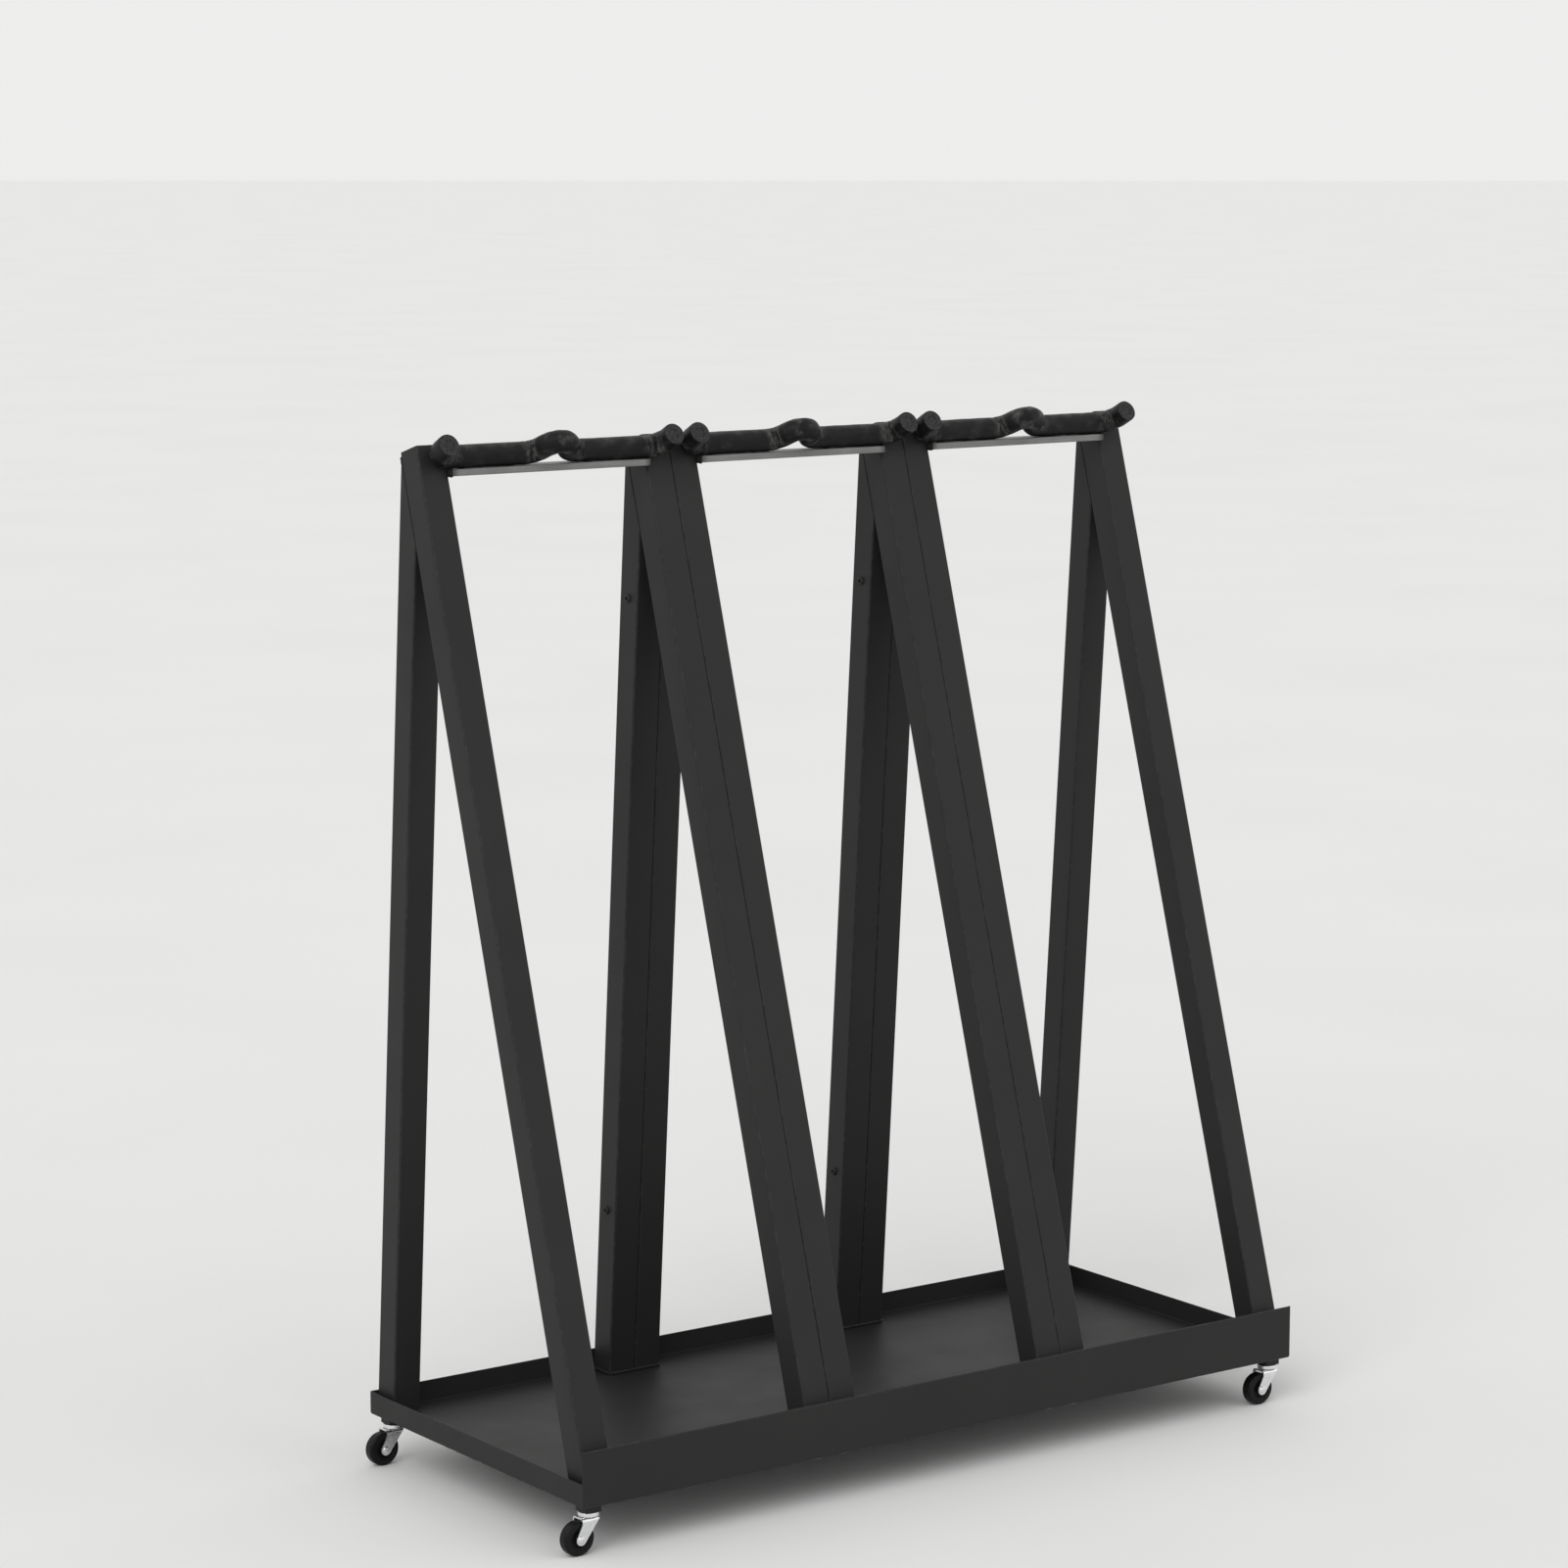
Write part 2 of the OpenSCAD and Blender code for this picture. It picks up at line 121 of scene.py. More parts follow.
class Nodes:
    """Short way to build one node material."""

    def __init__(self, name):
        self.material = bpy.data.materials.new(name)
        self.material.use_nodes = True
        self.tree = self.material.node_tree
        self.shader = self.tree.nodes["Principled BSDF"]
        coords = self.tree.nodes.new("ShaderNodeTexCoord")
        self.place = coords.outputs["Object"]

    def set(self, **values):
        for name, value in values.items():
            self.shader.inputs[name.replace("_", " ")].default_value = value

    def link(self, source, target):
        self.tree.links.new(source, self.shader.inputs[target])

    def stretch(self, x, y, z):
        """Object coordinates scaled by axis."""
        node = self.tree.nodes.new("ShaderNodeMapping")
        node.inputs["Scale"].default_value = (x, y, z)
        self.tree.links.new(self.place, node.inputs["Vector"])
        return node.outputs["Vector"]

    def noise(self, size_mm, detail=2.0, roughness=0.5, place=None):
        """Noise whose blotches are about this large."""
        node = self.tree.nodes.new("ShaderNodeTexNoise")
        node.inputs["Scale"].default_value = 1 / (size_mm * MM)
        node.inputs["Detail"].default_value = detail
        node.inputs["Roughness"].default_value = roughness
        self.tree.links.new(place or self.place, node.inputs["Vector"])
        return node.outputs["Fac"]

    def cells(self, size_mm):
        """Distance to the nearest of many scattered points this far apart."""
        node = self.tree.nodes.new("ShaderNodeTexVoronoi")
        node.inputs["Scale"].default_value = 1 / (size_mm * MM)
        self.tree.links.new(self.place, node.inputs["Vector"])
        return node.outputs["Distance"]

    def remap(self, value, source, target):
        """A value between source's two numbers goes between target's two, clamped."""
        node = self.tree.nodes.new("ShaderNodeMapRange")
        for name, number in zip(("From Min", "From Max", "To Min", "To Max"), (*source, *target)):
            node.inputs[name].default_value = number
        self.tree.links.new(value, node.inputs["Value"])
        return node.outputs["Result"]

    def times(self, a, b):
        """Product of an output and another output or a number."""
        node = self.tree.nodes.new("ShaderNodeMath")
        node.operation = "MULTIPLY"
        self.tree.links.new(a, node.inputs[0])
        if isinstance(b, float):
            node.inputs[1].default_value = b
        else:
            self.tree.links.new(b, node.inputs[1])
        return node.outputs[0]

    def mix(self, factor, a, b):
        """Colour that goes from a to b with factor; a and b are colours or outputs."""
        node = self.tree.nodes.new("ShaderNodeMix")
        node.data_type = "RGBA"
        self.tree.links.new(factor, node.inputs["Factor"])
        for socket, value in ((node.inputs[MIX_A], a), (node.inputs[MIX_B], b)):
            if isinstance(value, tuple):
                socket.default_value = (*value, 1)
            else:
                self.tree.links.new(value, socket)
        return node.outputs[MIX_OUT]

    def edge(self):
        """The edge value that each mesh carries: high on rubbed corners; on the foam it marks painted
        highlight, high on ridges and the upper side and low in the folds.
        """
        node = self.tree.nodes.new("ShaderNodeAttribute")
        node.attribute_name = "edge"
        return node.outputs["Fac"]

    def bump(self, height, depth_mm, normal=None):
        """Surface relief of this depth."""
        node = self.tree.nodes.new("ShaderNodeBump")
        node.inputs["Distance"].default_value = depth_mm * MM
        self.tree.links.new(height, node.inputs["Height"])
        if normal is not None:
            self.tree.links.new(normal, node.inputs["Normal"])
        self.tree.links.new(node.outputs["Normal"], self.shader.inputs["Normal"])
        return node.outputs["Normal"]


def grey(level):
    return (level, level, level)


def powder_coat():
    """Satin black powder coat: faint clouding, dust, rubbed edges and an orange-peel skin."""
    dark, light = grey(0.0175), (0.0205, 0.0203, 0.02)
    dust_colour, rubbed_colour = (0.04, 0.039, 0.037), (0.06, 0.059, 0.058)
    n = Nodes("powder_coat")
    base = n.mix(n.remap(n.noise(160, 3), MID, ALL), dark, light)
    dust = n.remap(n.noise(2.2, 4, 0.7), (0.66, 0.8), (0, 0.3))
    dusted = n.mix(dust, base, dust_colour)
    rubbed = n.times(n.edge(), n.remap(n.noise(9, 4, 0.65), (0.45, 0.75), (0, 0.6)))
    n.link(n.mix(rubbed, dusted, rubbed_colour), "Base Color")
    n.link(n.remap(n.noise(60, 3), MID, (0.48, 0.54)), "Roughness")
    n.set(Specular_IOR_Level=0.2)
    peel = n.bump(n.noise(1.6, 1), 0.035)
    n.bump(n.noise(0.5, 2), 0.006, peel)
    return n.material


def bare_steel():
    """Dulled flat bar: lengthwise mill grain, clouding and darker heat-tinted ends."""
    dark, light = (0.19, 0.19, 0.188), (0.25, 0.25, 0.247)
    line_colour, burnt_colour = (0.14, 0.14, 0.14), (0.05, 0.047, 0.044)
    n = Nodes("rail_steel")
    grain = n.noise(1, 3, 0.6, n.stretch(0.02, 1, 1))
    base = n.mix(n.remap(n.noise(28, 4, 0.6), MID, ALL), dark, light)
    lined = n.mix(n.remap(grain, (0.35, 0.7), (0, 0.5)), base, line_colour)
    n.link(n.mix(n.edge(), lined, burnt_colour), "Base Color")
    n.link(n.remap(grain, MID, (0.42, 0.62)), "Roughness")
    n.set(Metallic=0.4, Specular_IOR_Level=0.3)
    n.bump(grain, 0.03)
    return n.material


def foam_skin():
    """Closed-cell foam: left dark in its creases as painted shade and patchy grey on its ridges and upper
    side as painted highlight, with a fine skin and small pores.
    """
    dark, light = (0.004, 0.004, 0.0045), (0.0075, 0.0075, 0.0072)
    painted_sheen_colour, pore_colour, chalk_colour = (0.095, 0.094, 0.091), grey(0.004), grey(0.06)
    n = Nodes("foam_skin")
    base = n.mix(n.remap(n.noise(20, 4, 0.6), MID, ALL), dark, light)
    # Painted highlight: patchy paler grey where the foam's edge value is high, on ridges, lumps and the upper
    # side; the folds keep the dark base as painted shade.
    ridges = n.remap(n.edge(), (0.35, 1), ALL)
    patchy_sheen = n.times(ridges, n.remap(n.noise(5, 4, 0.65), (0.35, 0.65), (0.15, 1)))
    with_painted_sheen = n.mix(patchy_sheen, base, painted_sheen_colour)
    pores = n.remap(n.cells(0.9), (0, 0.32), (1, 0))
    dotted = n.mix(n.times(pores, 0.5), with_painted_sheen, pore_colour)
    chalk = n.remap(n.noise(2.4, 5, 0.7), (0.64, 0.8), (0, 0.4))
    n.link(n.mix(chalk, dotted, chalk_colour), "Base Color")
    n.link(n.remap(n.noise(12, 3), MID, (0.4, 0.56)), "Roughness")
    n.set(Specular_IOR_Level=0.17)
    skin = n.bump(n.noise(2.4, 4, 0.65), 0.3)
    n.bump(n.remap(n.cells(0.9), (0, 0.4), ALL), 0.05, skin)
    return n.material


def foam_cut():
    """Open cells on a sawn foam end."""
    dark, light, cell_colour = grey(0.019), grey(0.06), grey(0.009)
    n = Nodes("foam_cut")
    cells = n.cells(1.1)
    base = n.mix(n.remap(n.noise(2.6, 4, 0.7), (0.35, 0.68), ALL), dark, light)
    n.link(n.mix(n.remap(cells, (0, 0.35), (0.8, 0)), base, cell_colour), "Base Color")
    n.link(n.remap(cells, (0, 0.6), (0.95, 0.8)), "Roughness")
    n.set(Specular_IOR_Level=0.15)
    n.bump(n.remap(cells, (0, 0.45), ALL), 0.25)
    return n.material


def zinc_plate():
    """Bright zinc: clouded colour with a faint warm and blue cast, fine scratches, duller patches."""
    bluish, warm, stain_colour = (0.72, 0.735, 0.76), (0.83, 0.83, 0.815), (0.5, 0.49, 0.47)
    n = Nodes("zinc")
    base = n.mix(n.remap(n.noise(7, 4, 0.6), (0.32, 0.68), ALL), bluish, warm)
    stain = n.remap(n.noise(2.4, 5, 0.7), (0.6, 0.78), (0, 0.5))
    n.link(n.mix(stain, base, stain_colour), "Base Color")
    scratches = n.noise(0.6, 2, 0.6, n.stretch(0.15, 1, 0.4))
    n.link(n.remap(scratches, MID, (0.2, 0.36)), "Roughness")
    n.set(Metallic=1.0)
    n.bump(scratches, 0.012)
    return n.material


def moulded_black(name, low, high, roughness, relief):
    """Black plastic or rubber with a fine moulded surface and grey scuff marks."""
    n = Nodes(name)
    base = n.mix(n.remap(n.noise(9, 4, 0.6), MID, ALL), grey(low), grey(high))
    pale_marks = n.remap(n.noise(1.3, 5, 0.7), (0.6, 0.8), (0, 0.35))
    n.link(n.mix(pale_marks, base, grey(high * SCUFF_GAIN)), "Base Color")
    n.link(n.remap(n.noise(4, 3), MID, roughness), "Roughness")
    n.set(Specular_IOR_Level=0.13)
    n.bump(n.noise(0.7, 2), relief)
    return n.material


COAT = powder_coat()
STEEL = bare_steel()
FOAM = foam_skin()
CUT = foam_cut()
ZINC = zinc_plate()
HUB = moulded_black("hub_plastic", 0.006, 0.009, (0.36, 0.5), 0.02)
RUBBER = moulded_black("tyre_rubber", 0.006, 0.01, (0.32, 0.46), 0.03)

# Mesh helpers

FLAT_ANGLE = math.radians(38)
MERGE_M = 1e-6
X_AXIS = Vector((1, 0, 0))
Y_AXIS = Vector((0, 1, 0))
Z_AXIS = Vector((0, 0, 1))
# Marks a row of a turned part as a hexagon
HEX = True
# Share of a direction along X from which X can't be its cross direction
NEARLY_ALONG = 0.9


class Shape:
    """Vertices in millimetres, faces with a material number each, and an edge value per vertex."""

    def __init__(self):
        self.verts = []
        self.faces = []
        self.kinds = []
        self.edge = []

    def add(self, points, edge=0.0):
        """Adds points, with one edge value for all or a list of them, and returns their numbers."""
        first = len(self.verts)
        self.verts.extend(tuple(float(c) for c in p) for p in points)
        values = edge if isinstance(edge, (list, tuple)) else [edge] * len(points)
        self.edge.extend(values)
        return list(range(first, first + len(points)))

    def face(self, corners, kind=0):
        self.faces.append(tuple(corners))
        self.kinds.append(kind)

    def bridge(self, low, high, closed=True, kind=0):
        """Quads between two rows of equally many points."""
        count = len(low)
        for i in range(count if closed else count - 1):
            j = (i + 1) % count
            self.face((low[i], low[j], high[j], high[i]), kind)

    def loft(self, rows, closed=True, kind=0):
        for low, high in zip(rows, rows[1:]):
            self.bridge(low, high, closed, kind)

    def solid(self, rows):
        """Loft with a flat face over each end."""
        self.loft(rows)
        self.face(reversed(rows[0]))
        self.face(rows[-1])

    def object(self, name, *materials, weighted=True):
        mesh = bpy.data.meshes.new(name)
        mesh.from_pydata([tuple(c * MM for c in v) for v in self.verts], [], self.faces)
        mesh.polygons.foreach_set("material_index", self.kinds)
        mesh.attributes.new("edge", "FLOAT", "POINT").data.foreach_set("value", self.edge)
        work = bmesh.new()
        work.from_mesh(mesh)
        bmesh.ops.remove_doubles(work, verts=work.verts, dist=MERGE_M)
        bmesh.ops.dissolve_degenerate(work, edges=work.edges, dist=MERGE_M)
        bmesh.ops.recalc_face_normals(work, faces=work.faces)
        work.to_mesh(mesh)
        work.free()
        mesh.polygons.foreach_set("use_smooth", [True] * len(mesh.polygons))
        mesh.set_sharp_from_angle(angle=FLAT_ANGLE)
        for material in materials:
            mesh.materials.append(material)
        obj = bpy.data.objects.new(name, mesh)
        scene.collection.objects.link(obj)
        if weighted:
            even_normals(obj)
        return obj


def even_normals(obj):
    """Shading that keeps large faces flat beside their rounded edges."""
    obj.modifiers.new("even_normals", "WEIGHTED_NORMAL").keep_sharp = True


def place(obj, slot, nodes, body="rack"):
    """Finishes a piece: its body and the CAD nodes that it stands for. The slot is not used."""
    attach(obj, body)
    if nodes:
        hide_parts(*nodes)
    return obj


def beside(x):
    """A point's share along X, to be added to a place in Y and Z."""
    return Vector((x, 0, 0))


def round_way(angle, side, other):
    """Direction at this angle in the plane of side and other."""
    return math.cos(angle) * side + math.sin(angle) * other


def rounded_profile(w, d, r, steps=4):
    """Points of a rectangle with rounded corners, round the origin."""
    points = []
    for turn, (sx, sy) in enumerate(((1, 1), (-1, 1), (-1, -1), (1, -1))):
        for s in range(steps + 1):
            angle = math.radians(90 * (turn + s / steps))
            x = sx * (w / 2 - r) + r * math.cos(angle)
            y = sy * (d / 2 - r) + r * math.sin(angle)
            points.append((x, y))
    return points


def corner_marks(steps=4):
    """The edge value of each point of rounded_profile: highest in the middle of a corner."""
    return [math.sin(math.pi * s / steps) for _ in range(4) for s in range(steps + 1)]


def cut_prism(shape, profile, marks, origin, across, back, along, planes):
    """Bar with that profile along a direction, cut by a plane at each end."""
    rows = []
    for point, normal in planes:
        row = []
        for a, b in profile:
            start = origin + a * across + b * back
            t = (point - start).dot(normal) / along.dot(normal)
            row.append(start + t * along)
        rows.append(shape.add(row, marks))
    shape.solid(rows)


def turned(shape, rows, centre, axis, hollow=False, segments=48):
    """Part turned about an axis: rows are (radius, place along the axis), or those and HEX.

    A hollow part joins its last row to its first, and any other gets flat ends.
    """
    axis = axis.normalized()
    side = X_AXIS if abs(axis.x) < NEARLY_ALONG else Y_AXIS
    side = (side - side.dot(axis) * axis).normalized()
    other = axis.cross(side)
    rings = []
    for radius, along, *hexagon in rows:
        ring = []
        for k in range(segments):
            angle = 2 * math.pi * k / segments
            flat = math.cos(math.pi / 6) / math.cos((angle % (math.pi / 3)) - math.pi / 6)
            r = radius * (flat if hexagon else 1)
            ring.append(centre + along * axis + r * round_way(angle, side, other))
        rings.append(shape.add(ring))
    if hollow:
        shape.loft(rings)
        shape.bridge(rings[-1], rings[0])
    else:
        shape.solid(rings)


def mirrored(half_rows):
    """Rows of a turned part that is the same on both sides of its middle."""
    return [(r, -y) for r, y in half_rows] + [(r, y) for r, y in reversed(half_rows)]


# Weld beads

BEAD_R = 1.5
BEAD_SIDES = 8
BEAD_STEP = 1.0
BEAD_MARK = 0.25
# Steps in one scallop, and how much its ridge swells and its line and width wander
SCALLOP = 3.0
SCALLOP_SWELL = 0.14
BEAD_WANDER = 0.35
BEAD_UNEVEN = 0.5
# Steps of the two noises per bead step, and their places apart
WANDER_RATE = 0.15
WANDER_PLACE = 0.3
UNEVEN_RATE = 0.3
UNEVEN_PLACE = 7.1
# Share of the full width at a bead's last steps
BEAD_ENDS = (0.35, 0.8, 1)


def bead_width(i, last, seed):
    """Share of a bead's radius at step i: scalloped, uneven and tapered at its ends."""
    ripple = SCALLOP_SWELL * math.sin(2 * math.pi * i / SCALLOP)
    uneven = BEAD_UNEVEN * noise.noise(Vector((i * UNEVEN_RATE, seed, UNEVEN_PLACE)))
    from_end = min(i, last - i, len(BEAD_ENDS) - 1)
    return (1 + ripple + uneven) * BEAD_ENDS[from_end]


def bead(shape, points, radius, seed):
    """Weld bead along a path: a scalloped round ridge with a slightly wandering line."""
    path = []
    for a, b in zip(points, points[1:]):
        steps = max(2, int((b - a).length / BEAD_STEP))
        path.extend(a.lerp(b, s / steps) for s in range(steps))
    path.append(points[-1])
    last = len(path) - 1
    rows = []
    for i, p in enumerate(path):
        tangent = (path[min(i + 1, last)] - path[max(i - 1, 0)]).normalized()
        side = tangent.orthogonal().normalized()
        other = tangent.cross(side)
        wander = BEAD_WANDER * noise.noise(Vector((i * WANDER_RATE, seed, WANDER_PLACE)))
        size = radius * bead_width(i, last, seed)
        angles = [2 * math.pi * k / BEAD_SIDES for k in range(BEAD_SIDES)]
        ring = [p + side * wander + size * round_way(angle, side, other) for angle in angles]
        rows.append(shape.add(ring, BEAD_MARK))
    shape.solid(rows)


# Tray

SHEET = 2.0
RIM_H = 28.0
HEM_H = 12.0
HEM_T = 1.8
TRAY_CORNER_R = 3.0
BEND_OUT = 3.0
BEND_IN = 1.0
RIM_EDGE_R = 0.5
# Depth of the worn band along the walls' tops
WORN_BAND = 0.6


def arc(cx, cz, r, start_deg, end_deg, steps):
    """Points of an arc in a section."""
    for s in range(steps + 1):
        angle = math.radians(start_deg + (end_deg - start_deg) * s / steps)
        yield (cx + r * math.cos(angle), cz + r * math.sin(angle))


def wall_profile(height, hemmed):
    """Section through floor edge and wall: inset from the outer face and height over the tray's underside.

    Both kinds have equally many points, at matching places, so that one can follow the other.
    """
    points = list(arc(BEND_OUT, BEND_OUT, BEND_OUT, 270, 180, 5))
    fold = (SHEET + HEM_T) / 2
    if hemmed:
        hem_end = height - HEM_H
        points += arc(fold, height - fold, fold, 180, 0, 7)
        points += [(2 * fold, hem_end + 0.5), (2 * fold - 0.4, hem_end)]
        points += [(SHEET + 0.3, hem_end), (SHEET, hem_end)]
    else:
        points.append((0, height - fold))
        points += arc(RIM_EDGE_R, height - RIM_EDGE_R, RIM_EDGE_R, 180, 90, 3)
        points += arc(SHEET - RIM_EDGE_R, height - RIM_EDGE_R, RIM_EDGE_R, 90, 0, 3)
        points += [(SHEET, height - 1 - 0.1 * s) for s in range(3)]
    points += arc(BEND_OUT, SHEET + BEND_IN, BEND_IN, 180, 270, 4)
    return points


def tray_stations():
    """Stations round the walls: a corner's centre, a direction from it, the wall's height and its hem.

    The front corners are as tall as the lip. There the wall steps down to the rim's height on one side,
    and the lip's hem starts on the other.
    """
    lip_h = tray_hi[2] - tray_lo[2]
    left, right = tray_lo[0] + TRAY_CORNER_R, tray_hi[0] - TRAY_CORNER_R
    front, back = tray_lo[1] + TRAY_CORNER_R, tray_hi[1] - TRAY_CORNER_R
    rim, lip, hem = (RIM_H, False), (lip_h, False), (lip_h, True)
    corners = (
        (left, front, 180, rim, lip, hem),
        (right, front, 270, hem, lip, rim),
        (right, back, 0, rim, rim, rim),
        (left, back, 90, rim, rim, rim),
    )
    steps = 6
    for cx, cy, start, before, here, after in corners:
        angles = [math.radians(start + 90 / steps * s) for s in range(steps + 1)]
        if before != here:
            yield cx, cy, angles[0], *before
        for angle in angles:
            yield cx, cy, angle, *here
        if after != here:
            yield cx, cy, angles[-1], *after


def tray_piece():
    shape = Shape()
    rows = []
    for cx, cy, angle, height, hemmed in tray_stations():
        profile = wall_profile(height, hemmed)
        top = max(z for _, z in profile)
        marks = [1.0 if z > top - WORN_BAND else 0.0 for _, z in profile]
        row = []
        for inset, z in profile:
            r = TRAY_CORNER_R - inset
            row.append((cx + r * math.cos(angle), cy + r * math.sin(angle), tray_lo[2] + z))
        rows.append(shape.add(row, marks))
    shape.loft(rows + rows[:1], closed=False)
    shape.face([row[0] for row in reversed(rows)])
    shape.face([row[-1] for row in rows])
    place(shape.object("tray_pan", COAT), "powder_coat", ["tray"])


# A-frames

TUBE_CORNER_R = 2.6
CAP_T = 3.0
CAP_CORNER_R = 2.4
CAP_GAP = 0.3
CAP_MARK = 0.7
# Rounds after which the lean found from a leg's box has settled
LEAN_ROUNDS = 8
# How far beads lie under a leg's foot, inside its sides, and short of its corners
BEAD_SINK = 0.2
APEX_INSET = 0.5
CROSS_INSET = 2
# Bead sizes at the joint between two legs, as shares of BEAD_R
APEX_BEAD = 0.8
CROTCH_BEAD = 1.3
# Numbers that keep the beads' noise apart
REAR_FOOT_SEED = 20
APEX_SEED = 40
APEX_SEED_STEP = 7

front_lo, front_hi = box("front_leg_1")
_, rear_hi = box("rear_leg_1")
TUBE = front_hi[0] - front_lo[0]
LEG_BOTTOM = front_lo[2]


def front_lean():
    """Lean of the front legs, from the box that one of them fills."""
    lean = 0.0
    for _ in range(LEAN_ROUNDS):
        run = front_hi[1] - TUBE * math.cos(lean) - front_lo[1]
        lean = math.atan(run / (front_hi[2] - front_lo[2]))
    return lean


LEAN = front_lean()
LEG_UP = Vector((0, math.sin(LEAN), math.cos(LEAN)))
LEG_BACK = Vector((0, math.cos(LEAN), -math.sin(LEAN)))
FRONT_FOOT = Vector((0, front_lo[1], LEG_BOTTOM))
FRONT_TOP = Vector((0, front_hi[1] - TUBE * math.cos(LEAN), front_hi[2]))
BACK_TOP = FRONT_TOP + TUBE * LEG_BACK
REAR_TOP = BACK_TOP - (BACK_TOP.z - rear_hi[2]) / LEG_UP.z * LEG_UP
REAR_FOOT = Vector((0, rear_hi[1], LEG_BOTTOM))
REAR_UP = (REAR_TOP - REAR_FOOT).normalized()
REAR_IN = Vector((0, -REAR_UP.z, REAR_UP.y))
FLOOR_PLANE = (Vector((0, 0, LEG_BOTTOM)), Z_AXIS)


def leg_x(i):
    lo, hi = box(f"front_leg_{i + 1}")
    return (lo[0] + hi[0]) / 2


def crotch():
    """Lowest point, in Y and Z, where the rear leg's front face meets the front leg's rear face."""
    start = REAR_FOOT + TUBE * REAR_IN
    t = (BACK_TOP - start).dot(LEG_BACK) / REAR_UP.dot(LEG_BACK)
    return start + t * REAR_UP


CROTCH = crotch()


def tube_leg(name, node, x, foot, up, inward, top_plane):
    """Square tube with rounded corners: foot is where its outer face meets the floor plate."""
    shape = Shape()
    middle = beside(x) + foot + (TUBE / 2) * inward
    profile = rounded_profile(TUBE, TUBE, TUBE_CORNER_R)
    cut_prism(shape, profile, corner_marks(), middle, X_AXIS, inward, up, (FLOOR_PLANE, top_plane))
    place(shape.object(name, COAT), "powder_coat", [node])


def foot_beads(shape, x, y0, y1, seed):
    """Bead round a foot."""
    half = TUBE / 2
    z = LEG_BOTTOM - BEAD_SINK
    turns = ((-half, y0), (half, y0), (half, y1), (-half, y1), (-half, y0))
    bead(shape, [Vector((x + side, y, z)) for side, y in turns], BEAD_R, seed)


def apex_beads(shape, x, seed):
    """Beads along both sides of the joint between the two legs, and across both of its ends."""
    for s in (-1, 1):
        side = beside(x + s * (TUBE / 2 - APEX_INSET))
        bead(shape, [side + CROTCH, side + REAR_TOP], BEAD_R * APEX_BEAD, seed + s)
    left = beside(x - TUBE / 2 + CROSS_INSET)
    right = beside(x + TUBE / 2 - CROSS_INSET)
    bead(shape, [left + CROTCH, right + CROTCH], BEAD_R * CROTCH_BEAD, seed + 3)
    bead(shape, [left + REAR_TOP, right + REAR_TOP], BEAD_R * APEX_BEAD, seed + 4)


def cap_plate(shape, x):
    """Plate on a front leg's square-cut top, with softened edges."""
    middle = beside(x) + FRONT_TOP + (TUBE / 2) * LEG_BACK
    width = TUBE - 2 * CAP_GAP
    stations = ((0, 0, 0.0), (0, CAP_T - 0.7, CAP_MARK), (0.2, CAP_T - 0.2, CAP_MARK), (0.7, CAP_T, CAP_MARK))
    rows = []
    for inset, height, mark in stations:
        outline = rounded_profile(width - 2 * inset, TUBE - 2 * inset, CAP_CORNER_R - inset)
        row = [middle + a * X_AXIS + b * LEG_BACK + height * LEG_UP for a, b in outline]
        rows.append(shape.add(row, mark))
    shape.solid(rows)


def frames():
    front_depth = TUBE / math.cos(LEAN)
    rear_depth = TUBE / REAR_UP.z
    front_y, rear_y = front_lo[1], rear_hi[1]
    front_plane, rear_plane = (FRONT_TOP, LEG_UP), (BACK_TOP, LEG_BACK)
    beads = Shape()
    caps = Shape()
    for i in range(FRAMES):
        x, n = leg_x(i), i + 1
        tube_leg(f"front_tube_{n}", f"front_leg_{n}", x, FRONT_FOOT, LEG_UP, LEG_BACK, front_plane)
        tube_leg(f"rear_tube_{n}", f"rear_leg_{n}", x, REAR_FOOT, REAR_UP, REAR_IN, rear_plane)
        foot_beads(beads, x, front_y + 1, front_y + front_depth, i)
        foot_beads(beads, x, rear_y - rear_depth, rear_y - 1, REAR_FOOT_SEED + i)
        apex_beads(beads, x, APEX_SEED + APEX_SEED_STEP * i)
        cap_plate(caps, x)
    place(beads.object("frame_welds", COAT, weighted=False), "powder_coat", [])
    place(caps.object("cap_plates", COAT), "powder_coat", ["apex_caps"])


# Rails

RAIL_EDGE_R = 0.9
RAIL_BEAD_R = 1.4
RAIL_BEAD_IN = 0.6
BURNT_L = 9.0
BURNT_MARK = 0.9


def rails():
    beads = Shape()
    for k in range(MODULES):
        lo, hi = box(f"rail_{k + 1}")
        shape = Shape()
        centre_y, centre_z = (lo[1] + hi[1]) / 2, (lo[2] + hi[2]) / 2
        outline = rounded_profile(hi[1] - lo[1], hi[2] - lo[2], RAIL_EDGE_R, 3)
        stations = ((lo[0], BURNT_MARK), (lo[0] + BURNT_L, 0.0), (hi[0] - BURNT_L, 0.0), (hi[0], BURNT_MARK))
        rows = []
        for x, mark in stations:
            rows.append(shape.add([(x, centre_y + a, centre_z + b) for a, b in outline], mark))
        shape.solid(rows)
        place(shape.object(f"flat_rail_{k + 1}", STEEL), "rail_steel", [f"rail_{k + 1}"])
        for x in (lo[0] + RAIL_BEAD_IN, hi[0] - RAIL_BEAD_IN):
            for z in (lo[2], hi[2]):
                line = [Vector((x, lo[1] + 1, z)), Vector((x, hi[1] - 1, z))]
                bead(beads, line, RAIL_BEAD_R, k + x)
    place(beads.object("rail_welds", COAT, weighted=False), "powder_coat", [])


# Centre line of the padded bars

